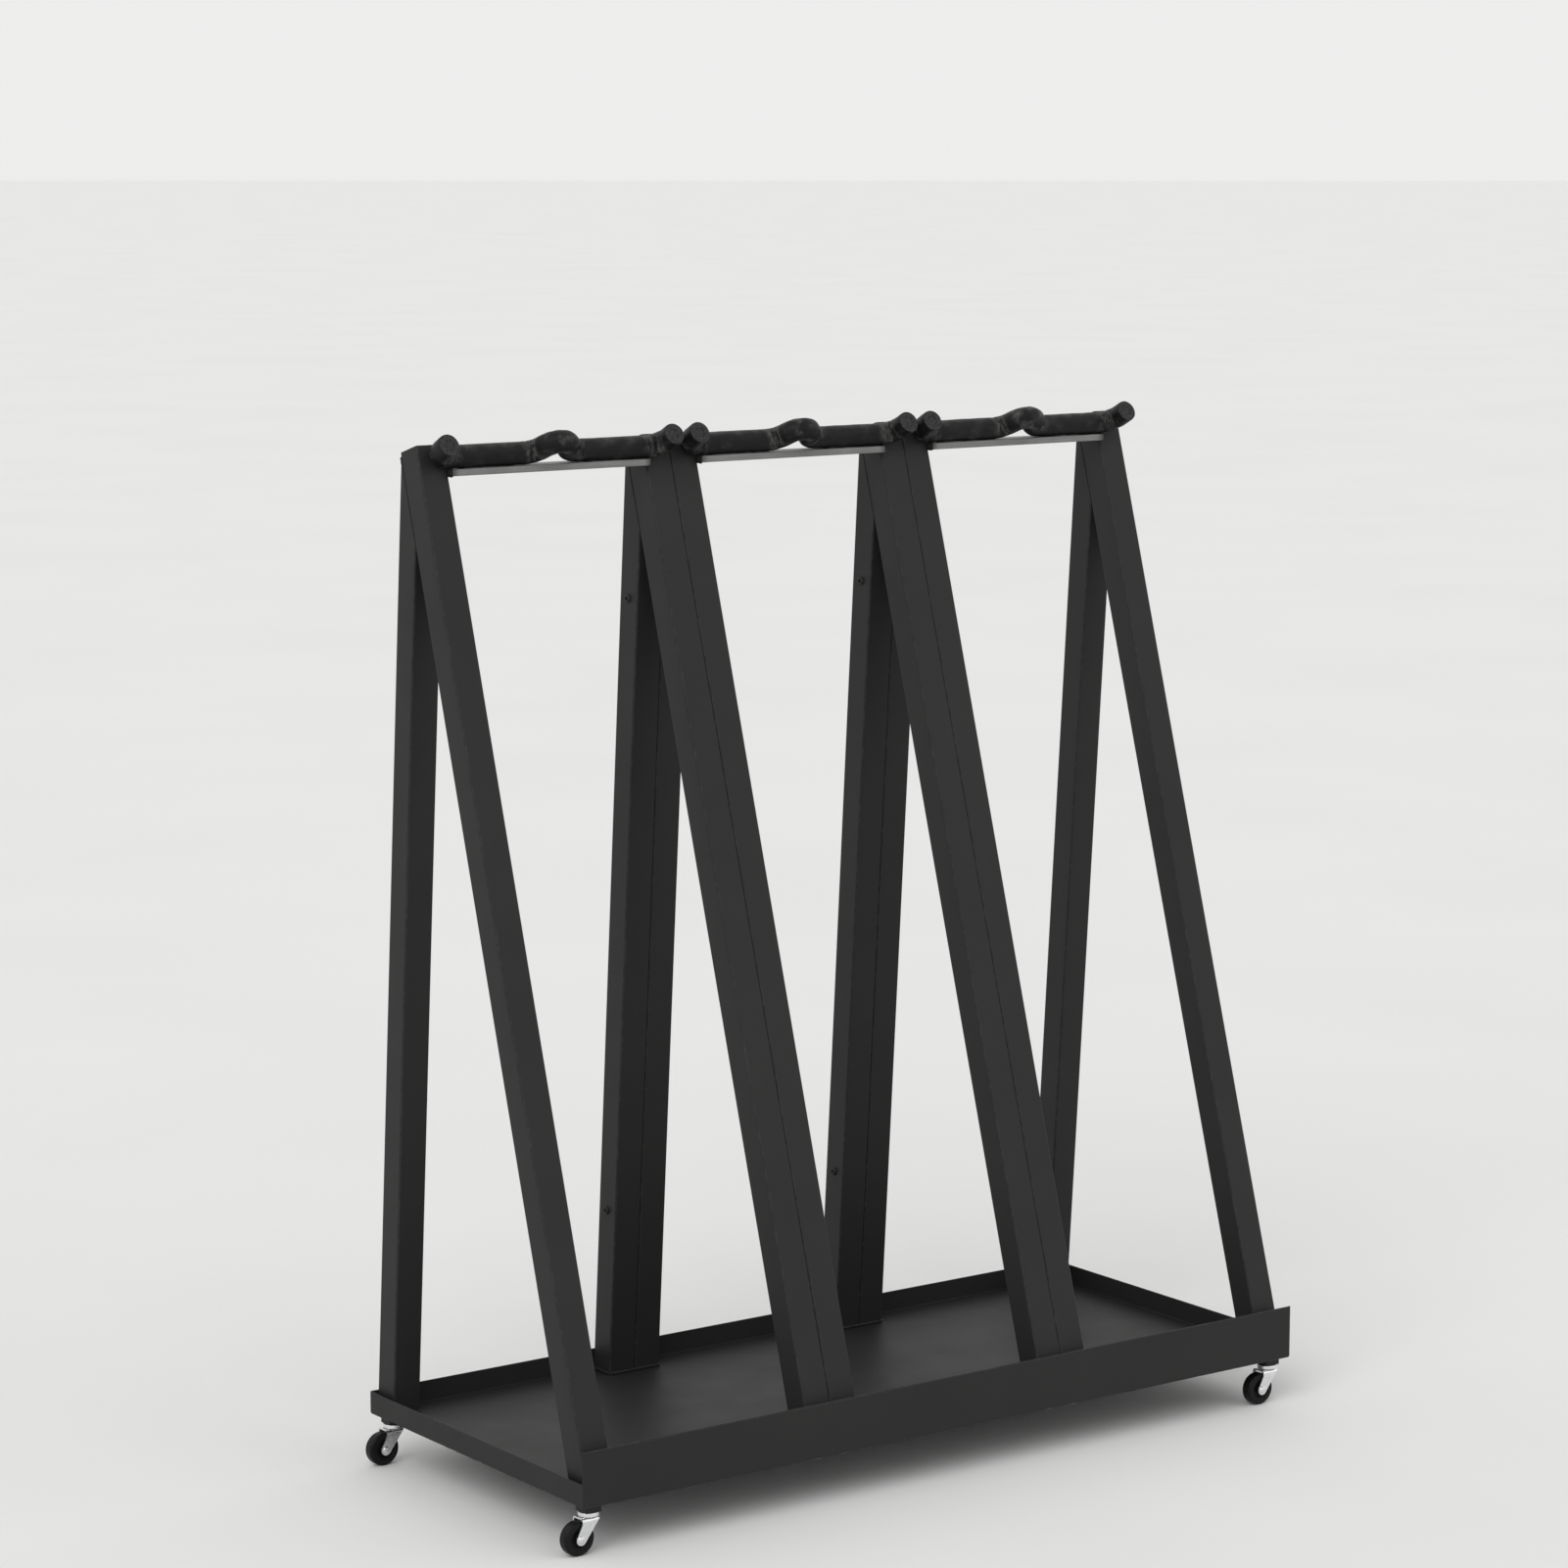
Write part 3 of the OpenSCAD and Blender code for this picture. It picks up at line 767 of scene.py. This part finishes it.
FOAM_R = 13.5
ROD_R = 6.0
ROD_TOUCH = 0.1
REACH = 36.0
RISE = math.radians(27)
BEND_R = 22.0
CREST_R = 17.0
CREST_SHORT = 6.0
CREST_RISE = REACH - CREST_SHORT
CREST_SIDE = math.radians(70)
CREST_LIMB = (CREST_RISE - (BEND_R + CREST_R) * (1 - math.cos(CREST_SIDE))) / math.sin(CREST_SIDE)
CREST_HALF = (BEND_R + CREST_R) * math.sin(CREST_SIDE) + CREST_LIMB * math.cos(CREST_SIDE)
BAR_DROP = 16.0
bar_face = FRONT_TOP - (BAR_DROP - CAP_T) / LEG_UP.z * LEG_UP
BAR = bar_face - (ROD_R + ROD_TOUCH) * LEG_BACK
OUT = Vector((0, -math.cos(RISE), math.sin(RISE)))
DOWN = X_AXIS.cross(OUT)
RING_STEP = 1.4
RING_SIDES = 56


def half_wave_points(horn_x):
    """Centre line from the crest's top to the horn's end: offsets in X and outwards, with the bend's sign."""
    points = []

    def run(a, b):
        steps = max(1, round((Vector(b) - Vector(a)).length / RING_STEP))
        points.extend((*Vector(a).lerp(Vector(b), s / steps), 0) for s in range(steps))

    def turn(centre, r, start, end, sign):
        steps = max(4, round(abs(end - start) * r / RING_STEP))
        for s in range(steps):
            angle = start + (end - start) * s / steps
            points.append((centre[0] + r * math.sin(angle), centre[1] - r * math.cos(angle), sign))

    low = (CREST_HALF - BEND_R * math.sin(CREST_SIDE), BEND_R * (1 - math.cos(CREST_SIDE)))
    high = (low[0] - CREST_LIMB * math.cos(CREST_SIDE), low[1] + CREST_LIMB * math.sin(CREST_SIDE))
    turn((0, CREST_RISE - CREST_R), CREST_R, math.pi, math.pi - CREST_SIDE, -1)
    run(high, low)
    turn((CREST_HALF, BEND_R), BEND_R, -CREST_SIDE, 0, 1)
    run((CREST_HALF, 0), (horn_x - BEND_R, 0))
    turn((horn_x - BEND_R, BEND_R), BEND_R, 0, math.pi / 2, 1)
    run((horn_x, BEND_R), (horn_x, REACH))
    points.append((horn_x, REACH, 0))
    return points


def wave_line(k):
    """Full centre line of module k's bar, and at each point the sign of its bend."""
    lo, hi = box(f"rail_{k + 1}")
    middle = (lo[0] + hi[0]) / 2
    half = half_wave_points(leg_x(2 * k + 1) - middle)
    both = [(-x, h, sign) for x, h, sign in reversed(half[1:])] + half
    points = [beside(middle + x) + BAR + h * OUT for x, h, _ in both]
    return points, [sign for _, _, sign in both]


def soften(values, reach=5):
    """Running mean, so that wrinkles fade in and out beside a bend."""
    means = []
    for i in range(len(values)):
        window = values[max(0, i - reach):i + reach + 1]
        means.append(sum(window) / len(window))
    return means


# Foam sleeves

# Folds inside a bend: their distance, depth, and how far their phase drifts
FOLD_PITCH = 8.0
FOLD_DEPTH = 1.9
FOLD_DRIFT = 2.8
FOLD_DRIFT_L = 14
FOLD_DRIFT_ROUND = 0.9
# Powers that gather the folds at the bend's inside, and sharpen them
FOLD_SPAN = 1.3
FOLD_SHARP = 0.6
# Fine creases in a bend, lumps all along, and the skin drawn thin outside a bend
CREASE_DEPTH = 0.5
CREASE_L = 6
CREASE_ROUND = 1.3
LUMP_DEPTH = 0.3
LUMP_L = 17
LUMP_ROUND = 1.1
THIN = 0.35
# Shares of the painted highlight, which leaves the folds dark as painted shade: everywhere, on ridges, on
# lumps and on the side that faces up
PAINTED_SHEEN = 0.3
FOLD_PAINTED_SHEEN = 0.85
LUMP_PAINTED_SHEEN = 0.35
TOP_PAINTED_SHEEN = 0.25
# Numbers that keep the sleeves' noises apart
SLEEVE_SEED = 3.7
CREASE_SEED = 9
# How a sleeve narrows at its last two rings
END_SHRINK = (0.45, 0.12, 0.0)
# Air between sleeve and leg, and the width over which the notch runs out beside a leg
NOTCH_AIR = 0.15
NOTCH_FADE = 2.5


def smooth_step(x):
    x = min(max(x, 0.0), 1.0)
    return x * x * (3 - 2 * x)


def off_the_leg(p, legs):
    """Moves a point of the foam out of the front legs, where the sleeve is notched for them."""
    for x in legs:
        past_side = abs(p.x - x) - TUBE / 2
        if past_side > NOTCH_FADE:
            continue
        behind = (p - FRONT_TOP).dot(LEG_BACK) + NOTCH_AIR
        if behind > 0:
            p = p - LEG_BACK * behind * (1 - smooth_step(past_side / NOTCH_FADE))
    return p


def skin_noise(travel, length, angle, spread, seed):
    """Noise over the sleeve's skin: along it by length and round it by spread."""
    return noise.noise(Vector((travel / length, math.cos(angle) * spread, math.sin(angle) * spread + seed)))


def foam_ring(p, tangent, sign, travel, seed, legs, shrink):
    """One ring of the sleeve and its pale marks, a painted highlight on ridges, lumps and the upper side and
    painted shade in the folds: folded inside its bends, drawn thin outside them, and lumpy.
    """
    side = tangent.cross(DOWN).normalized()
    ring, pale_marks = [], []
    for s in range(RING_SIDES):
        angle = 2 * math.pi * s / RING_SIDES
        direction = round_way(angle, side, DOWN)
        inner = max(0.0, sign * -math.cos(angle))
        outer = max(0.0, sign * math.cos(angle))
        drift = FOLD_DRIFT * skin_noise(travel, FOLD_DRIFT_L, angle, FOLD_DRIFT_ROUND, seed)
        wave = math.sin(2 * math.pi * travel / FOLD_PITCH + drift)
        fold = -inner ** FOLD_SPAN * (1 - abs(wave) ** FOLD_SHARP)
        creases = abs(sign) * skin_noise(travel, CREASE_L, angle, CREASE_ROUND, seed + CREASE_SEED)
        spot = (p.x / LUMP_L, direction.z * LUMP_ROUND + p.y / LUMP_L, direction.y * LUMP_ROUND + seed)
        lumps = noise.noise(Vector(spot))
        relief = FOLD_DEPTH * fold + CREASE_DEPTH * creases - THIN * outer + LUMP_DEPTH * lumps
        # Painted light: height rises on fold ridges, crease noise and lumps and falls in the folds, so the
        # foam is paler there as painted highlight, darker in the folds as painted shade, and paler on its
        # upper side as if lit from above.
        height = (1 + 2 * fold) * inner + creases + LUMP_PAINTED_SHEEN * lumps
        pale_marks.append(PAINTED_SHEEN + FOLD_PAINTED_SHEEN * height + TOP_PAINTED_SHEEN * max(0.0, direction.z) ** 2)
        ring.append(off_the_leg(p + (FOAM_R - shrink + relief) * direction, legs))
    return ring, pale_marks


def foam_sleeve(k):
    shape = Shape()
    points, bends = wave_line(k)
    bends = soften(bends)
    legs = (leg_x(2 * k), leg_x(2 * k + 1))
    rows = []
    travel = 0.0
    last = len(points) - 1
    for i, p in enumerate(points):
        ahead, behind = points[min(i + 1, last)], points[max(i - 1, 0)]
        tangent = (ahead - behind).normalized()
        travel += (p - behind).length
        shrink = END_SHRINK[min(i, last - i, 2)]
        rows.append(shape.add(*foam_ring(p, tangent, bends[i], travel, SLEEVE_SEED * k, legs, shrink)))
    shape.loft(rows)
    cut_end(shape, rows[0], points[0], points[1])
    cut_end(shape, rows[-1], points[-1], points[-2])
    piece = shape.object(f"foam_wave_{k + 1}", FOAM, CUT, weighted=False)
    place(piece, "foam", [f"foam_sleeve_{k + 1}"])
    return points


# Rings on a sawn end, in shares of the rim's radius, and how far the end stands proud and is rough
CUT_SHARES = (0.97, 0.85, 0.7, 0.56)
CUT_PROUD = 0.1
CUT_ROUGH = 0.12
CUT_RATE = 0.6
# Air round the rod's hole, and the depths of the hole's rings
HOLE_AIR = 0.08
HOLE_DEPTHS = (-0.02, 4)


def cut_end(shape, row, centre, nxt):
    """Sawn end of a sleeve: a rough ring round the rod's hole, and the hole's first stretch."""
    inward = (nxt - centre).normalized()
    rim = [Vector(shape.verts[v]) for v in row]
    rings = [row]
    for share in CUT_SHARES:
        ring = [centre + (p - centre) * share for p in rim]
        rough = [p - inward * (CUT_PROUD + CUT_ROUGH * noise.noise(p * CUT_RATE)) for p in ring]
        rings.append(shape.add(rough))
    hole = [(p - centre).normalized() * (ROD_R + HOLE_AIR) for p in rim]
    for depth in HOLE_DEPTHS:
        rings.append(shape.add([centre + p + inward * depth for p in hole]))
    shape.loft(rings, kind=1)


PLUG_L = 10.0
# Section of a plug, as radius and depth under the sawn end
PLUG_ROWS = ((5.9, PLUG_L), (5.95, 0.8), (5.7, 0.45), (4.0, 0.3), (1.5, 0.28))


def foam_plugs(lines):
    """Round plugs, a hair below the sawn ends that they close."""
    shape = Shape()
    for points in lines:
        for end, nxt in ((points[0], points[1]), (points[-1], points[-2])):
            turned(shape, PLUG_ROWS, end, nxt - end)
    piece = place(shape.object("foam_end_plugs", CUT, weighted=False), "foam", ["foam_plugs"])


# Fasteners

HEX_DEPTH = 2.6
# Dome of a button head, in shares of its radius and its height
HEAD_DOME = ((0.96, 0), (1, 0.12), (0.97, 0.35), (0.86, 0.7), (0.7, 0.93), (0.58, 1))
TRAY_BOLT_R = 3.95
TRAY_SOCKET_R = 2.9
WASHER_BORE_R = 4.3
JOIN_BOLT_R = 2.95
JOIN_HEAD_R = 5.2
JOIN_HEAD_H = 3.4
JOIN_SOCKET_R = 2.3
JOIN_NUT_R = 5.8
JOIN_NUT_H = 5.0
NUT_BORE_R = 3.05
# How deep a shank starts in its head, and how far it shows past its nut
SHANK_IN = 0.4
PAST_NUT = 2


def button_head(shape, centre, axis, head_r, head_h, socket_r):
    """Domed head with a hexagon socket: axis points from the seat out of the head."""
    rows = [(head_r * r, head_h * h) for r, h in HEAD_DOME]
    rows += [(socket_r * 1.08, head_h), (socket_r, head_h - 0.25, HEX), (socket_r, head_h - HEX_DEPTH, HEX)]
    turned(shape, rows, centre, axis)


def plain_bar(shape, centre, axis, r, start, end):
    """Shank with softened ends."""
    rows = [(r * 0.9, start), (r, start + 0.3), (r, end - 0.5), (r * 0.85, end)]
    turned(shape, rows, centre, axis, segments=32)


def leg_bolts():
    """Bolts and washers that come up through the tray into the legs which have no caster under them."""
    bolt_lo, bolt_hi = box("leg_bolts")
    washer_lo, washer_hi = box("leg_washers")
    head_h = washer_lo[2] - bolt_lo[2]
    head_r = leg_x(1) - bolt_lo[0]
    outer = leg_x(1) - washer_lo[0]
    t = washer_hi[2] - washer_lo[2]
    washer_rows = [
        (WASHER_BORE_R, 0), (outer - 0.3, 0), (outer, 0.3),
        (outer, t - 0.2), (outer - 0.2, t), (WASHER_BORE_R, t),
    ]
    bolts = Shape()
    washers = Shape()
    for i in range(1, FRAMES - 1):
        for y in (washer_lo[1] + outer, washer_hi[1] - outer):
            foot = Vector((leg_x(i), y, 0))
            seat = foot + Vector((0, 0, washer_lo[2]))
            button_head(bolts, seat, -Z_AXIS, head_r, head_h, TRAY_SOCKET_R)
            plain_bar(bolts, foot, Z_AXIS, TRAY_BOLT_R, washer_lo[2] - SHANK_IN, bolt_hi[2])
            turned(washers, washer_rows, seat, Z_AXIS, hollow=True)
    place(bolts.object("tray_bolts", ZINC), "zinc", ["leg_bolts"])
    place(washers.object("tray_washers", ZINC), "zinc", ["leg_washers"])


def joining_bolts():
    """Bolts and nuts that tie each pair of neighbouring frames, low and high on their rear legs."""
    lo, hi = box("joining_bolts")
    low = (hi[1] - JOIN_HEAD_R, lo[2] + JOIN_HEAD_R)
    high = (lo[1] + JOIN_HEAD_R, hi[2] - JOIN_HEAD_R)
    nut_rows = [
        (NUT_BORE_R + 0.15, 0.3), (JOIN_NUT_R * 0.9, 0), (JOIN_NUT_R, 0.5, HEX),
        (JOIN_NUT_R, JOIN_NUT_H - 0.6, HEX), (JOIN_NUT_R * 0.86, JOIN_NUT_H),
        (NUT_BORE_R + 0.35, JOIN_NUT_H), (NUT_BORE_R, JOIN_NUT_H - 0.4),
    ]
    bolts = Shape()
    nuts = Shape()
    for i in range(1, FRAMES - 1, 2):
        for y, z in (low, high):
            seat = Vector((leg_x(i) - TUBE / 2, y, z))
            button_head(bolts, seat, -X_AXIS, JOIN_HEAD_R, JOIN_HEAD_H, JOIN_SOCKET_R)
            plain_bar(bolts, seat, X_AXIS, JOIN_BOLT_R, -SHANK_IN, 2 * TUBE + JOIN_NUT_H + PAST_NUT)
            turned(nuts, nut_rows, seat + 2 * TUBE * X_AXIS, X_AXIS, hollow=True)
    place(bolts.object("pair_bolts", COAT), "powder_coat", ["joining_bolts"])
    place(nuts.object("pair_nuts", COAT), "powder_coat", ["joining_nuts"])


# Caster forks, each seen from its swivel axis at x = 0, y = 0

BODY_OF = ("front_left", "front_right", "rear_left", "rear_right")
WHEEL_R = 20.0
TRAIL = 16.0
CROWN_Z = 42.0
FORK_T = 2.0
FORK_OUT = 10.2
CROWN_TOP = CROWN_Z + FORK_T
CROWN_LEAD = 8.5
CROWN_TAIL = 14.5
CROWN_R = 12.5
SHOULDER_H = 5.0
SHOULDER_R = 4.0
EYE_R = 6.5
EYE_FRONT = math.atan2(TRAIL, CROWN_Z - WHEEL_R) + math.radians(6)
EYE_REAR = math.radians(12)
# Stations over half the crown, over a shoulder and down a cheek, and columns across the sheet
CROWN_STEPS = 6
SHOULDER_STEPS = 6
CHEEK_STEPS = 29
FORK_COLUMNS = 10
ROLLED_R = 0.45


def corner_place(i):
    """Swivel axis of caster i, from the box of its own tyre."""
    lo, hi = box(f"tyre_{i + 1}")
    return Vector(((lo[0] + hi[0]) / 2 + TRAIL, (lo[1] + hi[1]) / 2, 0))


def cheek_span(z):
    """Front and rear limit in X of the fork's cheek at this height."""
    fronts, rears = [], []
    if abs(z - WHEEL_R) < EYE_R:
        chord = math.sqrt(EYE_R ** 2 - (z - WHEEL_R) ** 2)
        fronts.append(-TRAIL + chord)
        rears.append(-TRAIL - chord)
    front_low = (-TRAIL + EYE_R * math.cos(EYE_FRONT), WHEEL_R - EYE_R * math.sin(EYE_FRONT))
    rear_low = (-TRAIL - EYE_R * math.cos(EYE_REAR), WHEEL_R + EYE_R * math.sin(EYE_REAR))
    if z >= front_low[1]:
        share = min((z - front_low[1]) / (CROWN_Z - front_low[1]), 1)
        fronts.append(front_low[0] + share * (CROWN_LEAD - front_low[0]))
    if z >= rear_low[1]:
        share = min((z - rear_low[1]) / (CROWN_Z - SHOULDER_H - rear_low[1]), 1)
        rears.append(rear_low[0] + share * (-CROWN_TAIL - rear_low[0]))
    return max(fronts), min(rears)


def crown_span(y):
    """Front and rear limit in X of the fork's crown at this distance from its middle."""
    chord = math.sqrt(max(CROWN_R ** 2 - y * y, 0))
    return max(CROWN_LEAD, chord), -max(CROWN_TAIL, chord)


def fork_path():
    """Half of the bent sheet, from the crown's middle down to the eye.

    Each station has its place in Y and Z, the way out of the sheet, and its limits in X.
    """
    stations = []
    flat_half = FORK_OUT - SHOULDER_R
    for s in range(CROWN_STEPS + 1):
        y = flat_half * s / CROWN_STEPS
        stations.append((y, CROWN_TOP, (0, 1), crown_span(y)))
    top = CROWN_TOP - SHOULDER_R
    for s in range(1, SHOULDER_STEPS + 1):
        share = s / SHOULDER_STEPS
        angle = math.radians(90 - 90 * share)
        y = flat_half + SHOULDER_R * math.cos(angle)
        z = top + SHOULDER_R * math.sin(angle)
        wide, narrow = crown_span(y), cheek_span(min(z, CROWN_Z))
        span = tuple(a + (b - a) * share for a, b in zip(wide, narrow))
        stations.append((y, z, (math.cos(angle), math.sin(angle)), span))
    bottom = WHEEL_R - EYE_R + 0.02
    for s in range(1, CHEEK_STEPS + 1):
        z = top + (bottom - top) * math.sin(math.pi / 2 * s / CHEEK_STEPS)
        stations.append((FORK_OUT, z, (1, 0), cheek_span(z)))
    return stations


def fork_piece(i):
    """Stamped fork: one sheet, thick, bent down on both sides."""
    shape = Shape()
    base = corner_place(i)
    half = fork_path()
    stations = [(-y, z, (-n[0], n[1]), span) for y, z, n, span in reversed(half[1:])] + half
    outer, inner = [], []
    for y, z, n, (front, rear) in stations:
        xs = [rear + (front - rear) * c / FORK_COLUMNS for c in range(FORK_COLUMNS + 1)]
        outer.append(shape.add([base + Vector((x, y, z)) for x in xs]))
        inner.append(shape.add([base + Vector((x, y - n[0] * FORK_T, z - n[1] * FORK_T)) for x in xs]))
    shape.loft(outer, closed=False)
    shape.loft(inner, closed=False)
    for column in (0, FORK_COLUMNS):
        shape.bridge([row[column] for row in outer], [row[column] for row in inner], closed=False)
    for row in (0, -1):
        shape.bridge(outer[row], inner[row], closed=False)
    piece = shape.object(f"stamped_fork_{i + 1}", ZINC, weighted=False)
    bevel = piece.modifiers.new("rolled_edges", "BEVEL")
    bevel.width = ROLLED_R * MM
    bevel.segments = 2
    bevel.angle_limit = math.radians(50)
    even_normals(piece)
    place(piece, "zinc", [f"fork_{i + 1}"], f"{BODY_OF[i]}_fork")


# Axles, wheels and what stays with the tray

RIVET_R = 2.45
RIVET_HEAD_R = 4.5
# Dome of a rivet's head, as radius and depth under its top
RIVET_DOME = ((0.6, 0), (2.4, 0.15), (4.0, 0.6))
HUB_BORE_R = 2.6
BOSS_R = 6.2
BOSS_HALF = 7.6
WEB_HALF = 2.0
HUB_RIM_R = 10.5
HUB_OUT_R = 12.9
HUB_HALF = 6.0
TYRE_BORE_R = 13.0
TYRE_SHOULDER_R = 3.2
MOULD_LINE = 0.12
SPACER_SIDE = 22.0
SPACER_CORNER_R = 2.0
SPACER_EDGE_R = 0.6
# Where the middle of the rounded edge lies, as a share of its radius
SPACER_MID = 0.3
RACE_Z = 47.2
RACE_TOP = 49.2
RACE_R = 12.5
RACE_SKIRT_R = 11.1
RACE_BORE_R = 4.1
RACE_SKIRT_Z = CROWN_TOP + 0.6


def axle_piece(i):
    """Rivet through the fork, with domed heads."""
    shape = Shape()
    lo, hi = box(f"axle_{i + 1}")
    half = (hi[1] - lo[1]) / 2
    half_rows = [(r, half - depth) for r, depth in RIVET_DOME]
    half_rows += [(RIVET_HEAD_R, FORK_OUT + 0.1), (RIVET_R, FORK_OUT)]
    turned(shape, mirrored(half_rows), corner_place(i) + Vector((-TRAIL, 0, WHEEL_R)), Y_AXIS)
    place(shape.object(f"axle_rivet_{i + 1}", ZINC), "zinc", [f"axle_{i + 1}"], f"{BODY_OF[i]}_fork")


def hub_rows():
    """Half section of the hub: bore, boss, web and rim."""
    boss = [(HUB_BORE_R, BOSS_HALF), (BOSS_R - 0.3, BOSS_HALF), (BOSS_R - 0.1, BOSS_HALF - 0.2)]
    web = [(BOSS_R, WEB_HALF + 0.6), (BOSS_R + 0.8, WEB_HALF), (HUB_RIM_R - 0.9, WEB_HALF)]
    rim = [(HUB_RIM_R - 0.2, WEB_HALF + 0.6), (HUB_RIM_R, HUB_HALF - 0.3), (HUB_RIM_R + 0.3, HUB_HALF)]
    return boss + web + rim + [(HUB_OUT_R, HUB_HALF)]


def tyre_rows(half):
    """Half section of a tyre: bore, side, round shoulder and mould line."""
    rows = [(TYRE_BORE_R, half - 0.6), (TYRE_BORE_R + 0.6, half)]
    for s in range(7):
        angle = math.radians(15 * s)
        r = WHEEL_R - TYRE_SHOULDER_R + TYRE_SHOULDER_R * math.sin(angle)
        rows.append((r, half - TYRE_SHOULDER_R + TYRE_SHOULDER_R * math.cos(angle)))
    return rows + [(WHEEL_R, 0.5), (WHEEL_R - MOULD_LINE, 0.25)]


def wheel_pieces(i):
    centre = corner_place(i) + Vector((-TRAIL, 0, WHEEL_R))
    body = f"{BODY_OF[i]}_wheel"
    hub = Shape()
    turned(hub, mirrored(hub_rows()), centre, Y_AXIS, hollow=True, segments=64)
    place(hub.object(f"wheel_hub_{i + 1}", HUB), "hub_plastic", [f"hub_{i + 1}"], body)
    tyre = Shape()
    lo, hi = box(f"tyre_{i + 1}")
    turned(tyre, mirrored(tyre_rows((hi[1] - lo[1]) / 2)), centre, Y_AXIS, hollow=True, segments=72)
    place(tyre.object(f"wheel_tyre_{i + 1}", RUBBER), "tyre_rubber", [f"tyre_{i + 1}"], body)


def spacer_block(shape, x, y, bottom, top):
    """Upright block with rounded corners and softened top and bottom edges."""
    rows = []
    e = SPACER_EDGE_R
    mid = e * SPACER_MID
    lower = ((e, bottom), (mid, bottom + mid), (0, bottom + e))
    upper = ((0, top - e), (mid, top - mid), (e, top))
    for inset, z in lower + upper:
        side = SPACER_SIDE - 2 * inset
        outline = rounded_profile(side, side, SPACER_CORNER_R - inset)
        rows.append(shape.add([(x + a, y + b, z) for a, b in outline]))
    shape.solid(rows)


def corner_pieces():
    """Spacer blocks and race caps on all corners."""
    blocks = Shape()
    races = Shape()
    lo, hi = box("corner_spacers")
    cup = [(RACE_BORE_R, RACE_TOP), (RACE_R - 1.5, RACE_TOP)]
    cup += [(RACE_R - 0.5, RACE_TOP - 0.35), (RACE_R, RACE_TOP - 1.2)]
    skirt = [(RACE_R, RACE_SKIRT_Z + 0.3), (RACE_R - 0.2, RACE_SKIRT_Z), (RACE_SKIRT_R + 0.2, RACE_SKIRT_Z)]
    inside = [(RACE_SKIRT_R, RACE_SKIRT_Z + 0.3), (RACE_SKIRT_R, RACE_Z), (RACE_BORE_R, RACE_Z)]
    for i in range(CORNERS):
        p = corner_place(i)
        spacer_block(blocks, p.x, p.y, lo[2], hi[2])
        turned(races, cup + skirt + inside, p, Z_AXIS, hollow=True, segments=64)
    place(blocks.object("spacer_blocks", COAT), "powder_coat", ["corner_spacers"])
    place(races.object("race_cups", ZINC), "zinc", ["race_caps"])


# The pieces

tray_piece()
frames()
rails()
foam_plugs([foam_sleeve(k) for k in range(MODULES)])
leg_bolts()
joining_bolts()
for corner in range(CORNERS):
    fork_piece(corner)
    axle_piece(corner)
    wheel_pieces(corner)
corner_pieces()

# CAD nodes that stay, with finished materials
KEPT = {
    "foot_plates": COAT, "weld_nuts": ZINC, "caster_stems": ZINC, "swivel_balls": ZINC,
    "wave_rod_1": COAT, "wave_rod_2": COAT, "wave_rod_3": COAT,
}
for name, material in KEPT.items():
    mesh = frame["nodes"][name].data
    mesh.materials.clear()
    mesh.materials.append(material)

# Floor, world and lamps

FLOOR_HALF_M = 200.0
FLOOR_BLOTCH = 900
PALE = (0.85, 0.85, 0.845)
PALER = (0.87, 0.87, 0.865)
WORLD_LIGHT = 0.79


def floor():
    """Pale floor, faintly clouded, that reaches the horizon."""
    mesh = bpy.data.meshes.new("floor")
    h = FLOOR_HALF_M
    mesh.from_pydata([(-h, -h, 0), (h, -h, 0), (h, h, 0), (-h, h, 0)], [], [(0, 1, 2, 3)])
    n = Nodes("floor")
    n.link(n.mix(n.remap(n.noise(FLOOR_BLOTCH, 3), MID, ALL), PALE, PALER), "Base Color")
    n.set(Roughness=0.9, Specular_IOR_Level=0.1)
    mesh.materials.append(n.material)
    obj = bpy.data.objects.new("floor", mesh)
    scene.collection.objects.link(obj)


def world():
    """Pale at full strength to look at and in reflections, and a lower level as light."""
    made = bpy.data.worlds.new("studio")
    made.use_nodes = True
    tree = made.node_tree
    path = tree.nodes.new("ShaderNodeLightPath")
    seen = path.outputs["Is Camera Ray"]
    for ray in ("Is Glossy Ray", "Is Transmission Ray"):
        either = tree.nodes.new("ShaderNodeMath")
        either.operation = "MAXIMUM"
        tree.links.new(seen, either.inputs[0])
        tree.links.new(path.outputs[ray], either.inputs[1])
        seen = either.outputs[0]
    level = tree.nodes.new("ShaderNodeMapRange")
    level.inputs["To Min"].default_value = WORLD_LIGHT
    level.inputs["To Max"].default_value = 1.0
    tree.links.new(seen, level.inputs["Value"])
    background = tree.nodes["Background"]
    background.inputs["Color"].default_value = (*PALE, 1)
    tree.links.new(level.outputs["Result"], background.inputs["Strength"])
    scene.world = made


def soft_sun(name, towards, strength, spread_deg):
    """Wide, even light from one side."""
    data = bpy.data.lights.new(name, "SUN")
    data.energy = strength
    data.angle = math.radians(spread_deg)
    obj = bpy.data.objects.new(name, data)
    scene.collection.objects.link(obj)
    obj.rotation_mode = "QUATERNION"
    obj.rotation_quaternion = Vector(towards).to_track_quat("-Z", "Y")


floor()
world()
soft_sun("key", (0.75, 0.45, -0.75), 1.0, 40)
soft_sun("fill", (-0.6, 0.8, -0.6), 0.3, 60)
scene.view_settings.view_transform = "Standard"
